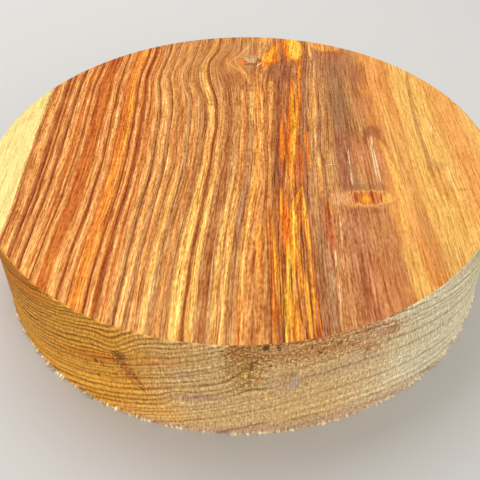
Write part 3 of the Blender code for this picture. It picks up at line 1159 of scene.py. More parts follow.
# Lines of lighter and darker wood in the rings of the wall, by their height under the heart: the left side's first.
LEFT_RINGS: tuple[tuple[float, float], ...] = (
    (9, -0.2), (11, -0.6), (12, 0.2), (14.2, 0.4), (16, 0.1), (17.4, -0.4), (18.5, 0.5), (19.8, -0.7),
    (21, 0.3), (22, -0.2), (23, 0.5), (24, -0.5), (25, 0.5), (26.2, -0.6), (27.1, 0.3), (28, -0.5),
    (29.3, 0.6), (31, -0.7), (32.2, 0.1), (33.5, -0.8), (35, 0.4), (36.2, -0.9), (37.8, 0.8), (39.9, -0.8),
    (41.5, 0.7), (42.7, -0.6), (44, 0.7), (45.2, 0.1), (46.2, -0.7), (47.1, 0.3), (48, -0.6), (49.2, 0.6),
    (50, -0.4), (50.8, 0.4), (51.6, -0.5), (52.4, 0.6), (53.2, -0.7), (55, 0.4), (56.2, -0.8), (57.2, 0.5),
    (58.5, -0.6), (59.4, 0.7), (60.6, -0.7), (61.7, 0.9), (63, -0.9), (64.5, 0.7), (66.2, -0.9), (67.5, 0.7),
    (68.5, -0.6), (69.6, 0.7), (70.8, -0.9), (71.8, 0.7), (72.7, -0.9), (73.7, 0.7), (74.5, -0.7), (75.6, 0.7),
    (76.6, -0.8), (77.4, 0.3), (78.2, -0.8), (79, 0.3), (79.9, -0.6), (80.8, 0.6), (82, -0.5), (83.2, 0.7),
    (84.6, -0.8), (85.4, -0.3), (86.2, -0.9), (87.2, 0.1), (88.2, -0.7), (89.4, 0), (91, -0.6), (93, 0.3),
    (95, -0.5), (97, 0.5), (100, 0), (105, 0.4), (112, 0),
)
RIGHT_RINGS: tuple[tuple[float, float], ...] = (
    (0, -0.3), (2.2, 0.1), (3.8, -0.5), (6.3, 0.3), (8.3, -0.6), (10, 0.7), (12.1, -0.5), (13.8, 1),
    (15.2, -0.3), (16.5, 0), (18.6, 0.4), (20.4, -0.7), (21.4, 0.4), (23, 0.1), (24.2, -0.2), (25.4, 0.5),
    (27, -0.1), (28.5, 0.1), (30.3, -0.1), (31.6, -0.7), (32.6, 0.2), (33.6, 0.3), (35, -0.3), (36.6, 0.4),
    (38.3, -0.7), (40, 0.2), (41.5, 0.5), (43, -0.5), (44.1, 0.5), (45.4, -0.6), (46.6, 0.8), (47.7, -0.8),
    (48.6, 0.6), (50, 0.8), (51.3, -0.7), (52.6, 0.7), (54.4, 0), (55.4, 0.4), (57.2, -0.3), (60, -0.6),
    (63, 0.3), (66, -0.4),
)

WALL_MARKS: tuple[Mark, ...] = (
    Mark(Tone.SIENNA, (-58, 28.6), (15, 3.6), 24, 0.55, 0.7, 0.8),
    Mark(Tone.SIENNA, (-94, 44), (24, 8), 18, 0.6, 0.7, 0.8),
    Mark(Tone.SIENNA, (-30, 38), (10, 3), 14, 0.3, 0.7, 0.8),
    Mark(Tone.COCOA, (-41.6, 26.6), (2.8, 8), 36, 0.5, 0.7, 2),
    Mark(Tone.UMBER, (-42, 28.4), (2.2, 4), 36, 0.45, 0.6, 2.8),
    Mark(Tone.UMBER, (-39.2, 25), (0.8, 3.6), 34, 0.7, 0.6, 1.8),
    Mark(Tone.UMBER, (-41.6, 23), (0.5, 3.4), 36, 0.5, 0.6, 1.8),
    Mark(Tone.UMBER, (-37.2, 19.2), (0.6, 2.8), 30, 0.7, 0.6, 1.6),
    Mark(Tone.SOOT, (-44.6, 35), (2.6, 2.4), 0, 0.75, 0.8, 1.2),
    Mark(Tone.UMBER, (-45.6, 31.6), (3.4, 1.6), 10, 0.5, 0.6, 1.6),
    Mark(Tone.UMBER, (-55.5, 26.6), (0.9, 1.3), 0, 1, 0.5, 0.9),
    Mark(Tone.UMBER, (-52.8, 26.2), (0.7, 1.6), 20, 0.9, 0.5, 0.9),
    Mark(Tone.UMBER, (-47.8, 23), (1.6, 0.5), 12, 0.8, 0.6, 0.9),
    Mark(Tone.UMBER, (-60.4, 21.8), (0.6, 1.4), 0, 0.6, 0.6, 0.9),
    Mark(Tone.UMBER, (-56, 17.8), (0.7, 1.5), -30, 0.7, 0.6, 0.9),
    Mark(Tone.UMBER, (-26.4, 19), (0.6, 0.8), 0, 0.7, 0.6, 0.9),
    Mark(Tone.UMBER, (-20.6, 19.6), (1.4, 0.9), 0, 0.5, 0.6, 1.2),
    Mark(Tone.SIENNA, (-77, 15.8), (3, 1.2), 0, 0.8, 0.7, 1),
    Mark(Tone.MUSK, (-16, 21), (9, 2.6), 12, 0.5, 0.8, 1.2),
    Mark(Tone.MUSK, (-21, 32), (5, 3), 14, 0.3, 0.8, 1.2),
    Mark(Tone.OLIVE, (0, 42), (6.4, 13), -6, 0.7, 0.9, 2.4),
    Mark(Tone.UMBER, (-3, 46.8), (4, 3), 20, 0.5, 0.7, 2),
    Mark(Tone.UMBER, (19, 45.2), (18, 5.8), 0, 0.55, 0.8, 2.8),
    Mark(Tone.SOOT, (2.2, 39.4), (0.7, 2.6), 0, 0.7, 0.6, 1.2),
    Mark(Tone.SOOT, (4, 42), (1.6, 0.5), 30, 0.5, 0.6, 1.2),
    Mark(Tone.SOOT, (7.2, 48.8), (1.4, 1.8), 10, 1, 0.5, 1),
    Mark(Tone.SOOT, (11.4, 48.4), (0.7, 1.6), 0, 0.9, 0.5, 1),
    Mark(Tone.SOOT, (8.9, 39.4), (0.5, 0.8), 0, 0.7, 0.5, 1),
    Mark(Tone.SOOT, (25.4, 42.8), (0.6, 1.2), 30, 0.8, 0.6, 1),
    Mark(Tone.SOOT, (32.2, 45.4), (0.9, 0.9), 0, 0.7, 0.6, 1.2),
    Mark(Tone.UMBER, (28.6, 44.2), (4.6, 0.5), 4, 0.5, 0.8, 1.8),
    Mark(Tone.UMBER, (21, 45.8), (5, 0.5), 18, 0.5, 0.8, 1.8),
    Mark(Tone.MUSK, (14, 28), (8, 6), 0, 0.35, 0.8, 1.2),
    Mark(Tone.MOSS, (15.6, 33), (2.4, 1.6), 0, 0.6, 0.7, 1.8),
    Mark(Tone.ASH, (17.2, 28.4), (1.6, 2.8), -10, 0.6, 0.8, 1.8),
    Mark(Tone.SOOT, (21.4, 26.8), (0.8, 0.8), -10, 0.4, 0.6, 1.4),
    Mark(Tone.STRAW, (7.5, 22.4), (0.4, 2.6), -2, 0.9, 0.5, 1),
    Mark(Tone.BRICK, (4.4, 31.8), (0.5, 1.2), 0, 0.8, 0.5, 0.9),
    Mark(Tone.LEMON, (0.2, 34), (0.6, 1), 0, 0.6, 0.5, 0.9),
    Mark(Tone.CLOVE, (44, 43), (12, 5), 2, 0.4, 0.8, 1.6),
    Mark(Tone.MAUVE, (53, 43.2), (3.6, 3.4), 0, 0.4, 0.9, 2.6),
    Mark(Tone.PLUM, (54.6, 42), (1.6, 3), 20, 0.35, 0.8, 2.6),
    Mark(Tone.MAUVE, (45, 36.2), (4, 2.4), 0, 0.45, 0.9, 2.6),
    Mark(Tone.PLUM, (43.6, 37.6), (0.9, 2.6), 0, 0.5, 0.7, 1.6),
    Mark(Tone.PLUM, (52, 37.4), (0.6, 3.4), 0, 0.4, 0.7, 1.6),
    Mark(Tone.MAUVE, (36.4, 43), (3, 0.9), -36, 0.5, 0.8, 1.8),
    Mark(Tone.MAUVE, (43.4, 40.2), (5, 0.7), -4, 0.5, 0.8, 1.8),
    Mark(Tone.MAUVE, (44, 47.6), (8, 1.6), 0, 0.5, 0.7, 1.8),
    Mark(Tone.MUSK, (36, 31), (14, 3.4), 0, 0.35, 0.7, 1.2),
    Mark(Tone.COCOA, (82, 25.8), (2.4, 0.8), -8, 0.4, 0.6, 0.8),
    Mark(Tone.MUSK, (20, 1), (60, 4.4), 0, 0.6, 0.7, 0.8),
    Mark(Tone.UMBER, (30, 49.9), (26, 0.8), 0, 0.6, 0.6, 0.8),
)


@dataclass(frozen=True)
class SawnWall(Finish):
    """The band-sawn wall: dry, with fine ring lines and upright saw marks. Its sizes are in millimetres."""

    name: str = "sawn_wall"
    gain: float = 1.2
    gloss: float = 0.01
    roughness: float = 0.85
    specular: float = 0.2
    relief_strength: float = 0.5
    relief_depth: float = 0.15 * MM
    round_radius: float = RADIUS * MILLIMETRES
    heart: float = 36.0
    heart_lift: float = 22.0
    ring_slope: float = 0.25
    front: Rise = Rise(10.0, -10.0)
    warps: tuple[Zone, ...] = (
        Zone(3.4, (Bell(-46.0, 6.0),), (Rise(57.0, 62.0), Rise(78.0, 66.0))),
        Zone(-2.2, (Bell(-33.0, 7.0),), (Bell(62.0, 6.0),)),
        Zone(-4.5, (Bell(1.0, 5.0),), (Bell(46.0, 13.0),)),
        Zone(-3.0, (Bell(-24.5, 4.0),), (Bell(34.0, 5.0),)),
    )
    wave: Grain = Grain(0.06, 0.08, 2.0, 2.0)
    wave_reach: float = 0.55
    curls: Grain = Grain(0.34, 0.3, 6.0, 2.0)
    curl_reach: float = 0.3
    curl_more: Zone = Zone(1.8, (Bell(24.0, 26.0),), (Rise(26.0, 38.0),))
    # The wall's colour from left to right, partly its own and partly painted light: darker ochre on the left as
    # painted shade, paler grey-beige on the right as painted cool light.
    tones: tuple[tuple[float, Tone], ...] = (
        (-110.0, Tone.SIENNA), (-88.0, Tone.OCHRE), (-52.0, Tone.OCHRE), (-8.0, Tone.SAND), (24.0, Tone.SAND),
        (72.0, Tone.BEIGE), (110.0, Tone.BEIGE),
    )
    clouds: Grain = Grain(0.03, 0.05, 4.0)
    cloud_reach: float = 8.0
    sapwood: Rise = Rise(96.0, 97.5)
    sapwood_gain: float = 0.85
    right_side: Rise = Rise(4.0, 22.0)
    light_lines: Step = (0.0, 0.8, 0.0, 0.6)
    dark_lines: Step = (-0.1, -0.85, 0.0, 1.2)
    line_depth: Step = (-70.0, 20.0, 0.52, 0.34)
    fading: Grain = Grain(0.07, 0.5, 31.0)
    fading_depth: float = 1.3
    speckle: Grain = Grain(0.9, 1.3, 13.0, 2.0, 0.7)
    speckle_depth: float = 0.5
    saw: Grain = Grain(1.3, 0.02, 17.0)
    saw_depth: float = 0.15
    ticks: Grain = Grain(1.7, 0.4, 37.0)
    tick_depth: float = 0.5
    waver: float = 0.1
    torn: Rise = Rise(RADIUS * MILLIMETRES + 0.1, RADIUS * MILLIMETRES + 0.6)
    torn_gain: float = 0.65
    shades: tuple[Zone, ...] = (
        Zone(0.28, (Rise(15.0, -30.0),), (Rise(30.0, 6.0),)),
        Zone(0.28, (Rise(65.0, 104.0),), (Rise(44.0, 4.0),)),
        Zone(0.112, (Rise(-10.0, 10.0), Rise(75.0, 50.0)), (Rise(30.0, 8.0),)),
        Zone(-0.098, (Rise(10.0, 50.0),), (Rise(28.0, 44.0),)),
    )
    fall: tuple[float, float, float] = (0.85, 1.0, 1.2)

    def ring_height(self, graph: Graph, x: Field, y: Field, z: Field, round_wall: Field) -> Field:
        """How high under the heart the ring through a point of the wall passes.

        Args:
            graph: The wall's graph.
            x: Place across the fibres.
            y: Place along them.
            z: Height above the floor.
            round_wall: Place round the wall from its front, rising to the right.

        Returns:
            The ring's height where it is lowest.
        """
        across = x - self.heart
        arc = graph.math("SQRT", across * across * self.ring_slope + self.heart_lift ** 2)
        ring = z + arc - self.heart_lift
        warp = total(graph, self.warps, round_wall, ring) * self.front.over(graph, y)
        wave = self.wave.over(graph, round_wall, ring) * self.wave_reach
        curl_reach = self.curl_more.at(graph, round_wall, z) + self.curl_reach
        return ring + warp + wave + self.curls.over(graph, round_wall, ring) * curl_reach

    def ring_lines(self, graph: Graph, x: Field, ring: Field) -> Field:
        """The lighter and darker lines of the rings.

        Args:
            graph: The wall's graph.
            x: Place across the fibres.
            ring: The ring at each point.

        Returns:
            How light each line is, and below 0 how dark.
        """
        left, right = (
            graph.ramp(ring, [(at, grey(level)) for at, level in stops]) * 2.0 - 1.0
            for stops in (LEFT_RINGS, RIGHT_RINGS)
        )
        line = left + (right - left) * self.right_side.over(graph, x)
        return graph.smooth(line, *self.light_lines) - graph.smooth(line, *self.dark_lines)

    def look(self, graph: Graph) -> tuple[Field, Optional[Field]]:
        """Works out the finish at every point.

        Args:
            graph: The material's graph.

        Returns:
            Its colour and the height of its relief.
        """
        x, y, z = graph.place()
        round_wall = graph.math("ARCTAN2", x, y * -1.0) * self.round_radius
        ring = self.ring_height(graph, x, y, z, round_wall)
        speckle = self.speckle.over(graph, round_wall, z)
        ticks = self.ticks.over(graph, round_wall, z)
        drifted = graph.math("MULTIPLY_ADD", self.clouds.over(graph, round_wall, z), self.cloud_reach, x)
        # Partly painted light: the colour runs from shaded ochre on the left to cool-lit beige on the right.
        colour = graph.ramp(drifted, [(at, self.shows(tone)) for at, tone in self.tones])
        sapwood = Tone.BUTTER.linear(self.gain * self.sapwood_gain)
        colour = graph.mix(self.sapwood.over(graph, ring), colour, sapwood)
        colour = Brush(graph, self, speckle, self.waver).lay(colour, WALL_MARKS, round_wall, z)
        distance = graph.math("SQRT", x * x + y * y)
        torn = self.torn.over(graph, distance + speckle * self.waver)
        colour = graph.mix(torn, colour, Tone.FIBRE.linear(self.gain * self.torn_gain))
        fading = self.fading.over(graph, round_wall, ring) * self.fading_depth + 1.0
        shade = self.ring_lines(graph, x, ring) * fading * graph.smooth(x, *self.line_depth)
        shade = shade + speckle * self.speckle_depth + ticks * self.tick_depth
        shade = shade + self.saw.over(graph, round_wall, z) * self.saw_depth
        shade = shade + total(graph, self.shades, x, z)
        return graph.scaled(colour, shade, self.fall), speckle + ticks


@dataclass(frozen=True)
class TornFibre(Finish):
    """Clean wood, torn out in fibres where the saw left the lower edge."""

    name: str = "torn_fibre"
    gain: float = 0.95
    spots: float = 0.7
    pale: Rise = Rise(-0.8, 0.5)

    def look(self, graph: Graph) -> tuple[Field, Optional[Field]]:
        """Works out the finish, which has no relief, at every point."""
        spots = graph.noise(*(part * self.spots for part in graph.place()), 2.0)
        return graph.mix(self.pale.over(graph, spots), self.shows(Tone.SAND), self.shows(Tone.FIBRE)), None


class Side(IntEnum):
    """Which finish a face of the blank's body has."""

    PLANED = 0
    SAWN = 1
    UNDER = 2


@dataclass
class Blank:
    """The blank's body: one closed mesh with a planed face, a sharp arris, a sawn wall and an underside.

    Its sizes are in metres. The saw left shallow upright flutes round the wall and a ragged lip along the bottom,
    and a small knot broke out of the planed face near its far edge. A tooth of the lip is drawn as a share of the
    lip's reach, its root as a share of the lip's height, and what surrounds the knot as shares of its radii. The
    map of its colours is one unit wide.
    """

    radius: float
    thickness: float
    arris: float = 0.3 * MM
    cells: int = 240
    wall_rows: int = 11
    underside_rings: tuple[float, ...] = (0.985, 0.75, 0.5, 0.25)
    sharp_angle: float = 40.0
    flute_depth: float = 0.1 * MM
    flute_waves: tuple[int, ...] = (37, 61, 94)
    flute_lean: float = 2.0
    kerf: float = 0.05 * MM
    kerf_drift: int = 3
    lip_height: float = 3.2 * MM
    lip_reach: float = 1.4 * MM
    short_tooth: Pair = (0.1, 0.35)
    long_tooth: Pair = (0.4, 1.0)
    short_share: float = 0.6
    tooth_root: Pair = (0.45, 1.0)
    root_limit: float = 0.85
    tip_height: float = 0.6 * MM
    foot_reach: float = 0.6
    side_lip: float = 0.35
    corner_lip: float = 0.6
    knot: Pair = (6.2 * MM, 82.2 * MM)
    knot_radii: Pair = (4.6 * MM, 3.2 * MM)
    knot_depth: float = 1.0 * MM
    knot_surround: float = 1.7
    knot_cuts: int = 3
    knot_edge: float = 1.12
    knot_slope: float = 0.35
    knot_floor: float = 0.72
    knot_ragged: float = 0.3
    knot_lumps: Pair = (0.35, 0.3)
    knot_grains: Pair = (450.0, 1600.0)
    seed: int = 11
    map_span: float = 2.04
    face_map: float = 0.69
    underside_map: float = 0.29
    wall_map: Pair = (0.98, 0.135)
    front_wall_place: Pair = (0.01, 0.705)
    back_wall_place: Pair = (0.01, 0.86)
    underside_place: Pair = (0.70, 0.0)

    def __post_init__(self) -> None:
        """Works out what follows from the sizes, and draws the saw's marks."""
        self.steps = 4 * self.cells
        draw = random.Random(self.seed)
        self.kerfs = [draw.random() for _ in range(self.steps)]
        self.teeth = [draw.uniform(*(self.short_tooth if draw.random() < self.short_share else self.long_tooth))
                      for _ in range(self.steps)]
        self.roots = [draw.uniform(*self.tooth_root) for _ in range(self.steps)]

    def build(self, finishes: dict[Side, Finish]) -> bpy.types.Object:
        """Makes the body.

        Args:
            finishes: The finish of each side.

        Returns:
            The new object, at the origin.
        """
        mesh = bmesh.new()
        rims = [self.planed_face(mesh)]
        rims += [self.wall_ring(mesh, row) for row in range(self.wall_rows + 1)]
        rims += self.lip_rings(mesh)
        for above, below in zip(rims, rims[1:]):
            self.band(mesh, above, below, Side.SAWN)
        self.underside(mesh, rims[-1])
        self.hollow_knot(mesh)
        bmesh.ops.recalc_face_normals(mesh, faces=mesh.faces)
        self.unwrap(mesh)
        data = bpy.data.meshes.new("blank_body")
        mesh.to_mesh(data)
        mesh.free()
        for side in Side:
            data.materials.append(finishes[side].material())
        data.shade_smooth()
        data.set_sharp_from_angle(angle=math.radians(self.sharp_angle))
        body = bpy.data.objects.new("blank_body", data)
        bpy.context.scene.collection.objects.link(body)
        return body

    def angle(self, step: int) -> float:
        """The angle round the axis, from +X, of one step of the wall."""
        return math.tau * step / self.steps

    def wall_radius(self, step: int, height: float) -> float:
        """The wall's radius where the saw left it, never more than the blank's.

        Args:
            step: The step round the wall.
            height: Height above the floor.

        Returns:
            The radius in metres.
        """
        lean = self.flute_lean * height / self.thickness
        waves = sum(math.sin(count * self.angle(step) + lean + count) for count in self.flute_waves)
        shift = int(height / self.thickness * self.kerf_drift)
        cut = self.kerf * self.kerfs[(step + shift) % self.steps]
        return self.radius - self.flute_depth * (1 - waves / len(self.flute_waves)) - cut

    def point(self, step: int, radius: float, height: float) -> tuple[float, float, float]:
        """A point at a step round the axis, a radius and a height."""
        return (radius * math.cos(self.angle(step)), radius * math.sin(self.angle(step)), height)

    def band(self, mesh: Mesh, outer: list[Point], inner: list[Point], side: Side) -> None:
        """Fills the band between two closed rings of points with one row of faces.

        Args:
            mesh: The mesh that is filled.
            outer: The upper or outer ring.
            inner: The lower or inner ring.
            side: Which finish the faces have.
        """
        for step in range(self.steps):
            after = (step + 1) % self.steps
            mesh.faces.new((outer[step], inner[step], inner[after], outer[after])).material_index = side

    def wall_ring(self, mesh: Mesh, row: int) -> list[Point]:
        """One level ring of the sawn wall, from the arris down to where the torn lip starts.

        Args:
            mesh: The mesh that gets it.
            row: Its number, counted from the arris.

        Returns:
            Its points in order.
        """
        top = self.thickness - self.arris
        height = top - (top - self.lip_height) * row / self.wall_rows
        return [mesh.verts.new(self.point(step, self.wall_radius(step, height), height)) for step in range(self.steps)]

    def lip_rings(self, mesh: Mesh) -> list[list[Point]]:
        """The root, the tips and the foot of the ragged lip, which is longest on end grain.

        Args:
            mesh: The mesh that gets them.

        Returns:
            Three rings of points, from the top down.
        """
        root, tips, foot = [], [], []
        for step in range(self.steps):
            share = self.side_lip + (1 - self.side_lip) * abs(math.sin(self.angle(step)))
            share *= 1 + self.corner_lip * math.sin(2 * self.angle(step)) ** 2
            reach = self.lip_reach * share * self.teeth[step]
            height = self.root_limit * self.lip_height * self.roots[step]
            wall = self.wall_radius(step, height)
            root.append(mesh.verts.new(self.point(step, wall, height)))
            tips.append(mesh.verts.new(self.point(step, wall + reach, self.tip_height)))
            foot.append(mesh.verts.new(self.point(step, wall + self.foot_reach * reach, 0.0)))
        return [root, tips, foot]

    def planed_face(self, mesh: Mesh) -> list[Point]:
        """Fills the planed face with even cells: a square grid bent round so that its edge is the rim.

        Args:
            mesh: The mesh that is filled.

        Returns:
            The rim's points in order, counterclockwise from +X.
        """
        radius = self.radius - 2 * self.flute_depth - self.kerf - self.arris
        last = self.cells
        grid = []
        for row in range(last + 1):
            line = []
            for column in range(last + 1):
                x, y = self.square_to_disc(2 * column / last - 1, 2 * row / last - 1)
                line.append(mesh.verts.new((radius * x, radius * y, self.thickness)))
            grid.append(line)
        for row in range(last):
            for column in range(last):
                corners = (grid[row][column], grid[row][column + 1], grid[row + 1][column + 1], grid[row + 1][column])
                mesh.faces.new(corners).material_index = Side.PLANED
        edge = [grid[row][last] for row in range(last)]
        edge += [grid[last][last - column] for column in range(last)]
        edge += [grid[last - row][0] for row in range(last)]
        edge += [grid[0][column] for column in range(last)]
        start = last // 2
        return edge[start:] + edge[:start]

    @staticmethod
    def square_to_disc(across: float, along: float) -> Pair:
        """Bends a point of the square from -1 to 1 into the unit disc, ring by ring.

        Args:
            across: Its place along X.
            along: Its place along Y.

        Returns:
            Where it lands in the disc.
        """
        if across == 0 and along == 0:
            return 0.0, 0.0
        if abs(across) > abs(along):
            radius = across
            angle = math.pi / 4 * along / across
        else:
            radius = along
            angle = math.pi / 2 - math.pi / 4 * across / along
        return radius * math.cos(angle), radius * math.sin(angle)

    def hollow_knot(self, mesh: Mesh) -> None:
        """Refines the planed face round the broken knot and sinks its rough hollow.

        Args:
            mesh: The blank's mesh.
        """
        middle = Vector((*self.knot, self.thickness))
        reach = self.knot_surround * max(self.knot_radii)
        near = [face for face in mesh.faces
                if face.material_index == Side.PLANED and (face.calc_center_median() - middle).length < reach]
        edges = {edge for face in near for edge in face.edges}
        bmesh.ops.subdivide_edges(mesh, edges=list(edges), cuts=self.knot_cuts, use_grid_fill=True)
        for point in mesh.verts:
            away = Vector(((point.co.x - middle.x) / self.knot_radii[0], (point.co.y - middle.y) / self.knot_radii[1]))
            if abs(point.co.z - self.thickness) < LEVEL and away.length < self.knot_surround:
                coarse, fine = (noise.noise(point.co * grain) for grain in self.knot_grains)
                inside = (self.knot_edge + self.knot_ragged * coarse - away.length) / self.knot_slope
                floor = self.knot_floor + self.knot_lumps[0] * coarse + self.knot_lumps[1] * fine
                point.co.z -= self.knot_depth * min(max(inside, 0.0), 1.0) * min(max(floor, 0.0), 1.0)

    def underside(self, mesh: Mesh, rim: list[Point]) -> None:
        """Closes the underside with rings of cells that end in a fan.

        Args:
            mesh: The blank's mesh.
            rim: The foot of the torn lip.
        """
        rims = [rim]
        for share in self.underside_rings:
            rims.append([mesh.verts.new(self.point(step, self.radius * share, 0.0)) for step in range(self.steps)])
        middle = mesh.verts.new((0.0, 0.0, 0.0))
        for outer, inner in zip(rims, rims[1:]):
            self.band(mesh, outer, inner, Side.UNDER)
        for step in range(self.steps):
            mesh.faces.new((rims[-1][step], middle, rims[-1][(step + 1) % self.steps])).material_index = Side.UNDER

    def unwrap(self, mesh: Mesh) -> None:
        """Lays out the face, the underside and two halves of the wall on one map.

        Args:
            mesh: The blank's mesh.
        """
        layer = mesh.loops.layers.uv.new(BAKE_MAP)
        span = self.map_span * self.radius
        for face in mesh.faces:
            wall_place = self.back_wall_place if face.calc_center_median().y > 0 else self.front_wall_place
            for loop in face.loops:
                x, y, z = loop.vert.co
                flat = Vector((x / span + 0.5, y / span + 0.5))
                if face.material_index == Side.PLANED:
                    place = self.face_map * flat
                elif face.material_index == Side.UNDER:
                    place = Vector(self.underside_place) + self.underside_map * flat
                else:
                    turn = math.atan2(abs(y) if abs(y) > LEVEL else 0.0, x) / math.pi
                    wall = Vector((self.wall_map[0] * turn, self.wall_map[1] * z / self.thickness))
                    place = Vector(wall_place) + wall
                loop[layer].uv = place


class LipNodes:
    """Adds nodes to a geometry tree, each with its inputs linked or set."""

    def __init__(self, tree: bpy.types.NodeTree) -> None:
        """Keeps the tree that is filled."""
        self.tree = tree

    def feed(self, socket: Socket, value: object) -> None:
        """Links another node's output to a socket, or sets a plain value on it.

        Args:
            socket: The input to feed.
            value: A socket, or what the input holds by default.
        """
        if isinstance(value, Socket):
            self.tree.links.new(value, socket)
        else:
            socket.default_value = value

    def add(self, kind: str, **inputs: object) -> bpy.types.Node:
        """Adds a node of a kind, with its inputs by name.

        Args:
            kind: The node's type.
            inputs: What each named input is fed.

        Returns:
            The new node.
        """
        made = self.tree.nodes.new(kind)
        if kind == "FunctionNodeAlignRotationToVector":
            made.axis = "Z"
        for name, value in inputs.items():
            self.feed(made.inputs[name], value)
        return made

    def step(self, kind: str, operation: str, values: Iterable[object]) -> bpy.types.Node:
        """Adds one step of arithmetic, with its inputs in order.

        Args:
            kind: The node's type.
            operation: What it does.
            values: Its inputs.

        Returns:
            The new node.
        """
        made = self.tree.nodes.new(kind)
        made.operation = operation
        for socket, value in zip(made.inputs, values):
            self.feed(socket, value)
        return made

    def vector(self, operation: str, *values: object, scale: object = None, output: str = "Vector") -> Socket:
        """One step of vector arithmetic.

        Args:
            operation: What it does.
            values: Its inputs in order.
            scale: What a vector is scaled by, where it is.
            output: The name of the output that is read.

        Returns:
            The output's socket.
        """
        made = self.step("ShaderNodeVectorMath", operation, values)
        if scale is not None:
            self.feed(made.inputs["Scale"], scale)
        return made.outputs[output]

    def number(self, operation: str, *values: object) -> Socket:
        """One step of arithmetic."""
        return self.step("ShaderNodeMath", operation, values).outputs[0]

    def random(self, ends: Pair, seed: Socket, draw: int) -> Socket:
        """A random number for each point.

        Args:
            ends: The lowest and the highest it can be.
            seed: The tree's seed.
            draw: Which draw this is, so that no two are alike.

        Returns:
            The number's socket.
        """
        made = self.tree.nodes.new("FunctionNodeRandomValue")
        made.data_type = "FLOAT"
        sockets = [socket for socket in made.inputs if socket.enabled and socket.type == "VALUE"]
        for socket, end in zip(sockets, ends):
            socket.default_value = end
        self.feed(made.inputs["Seed"], self.number("ADD", seed, draw))
        return [socket for socket in made.outputs if socket.enabled][0]


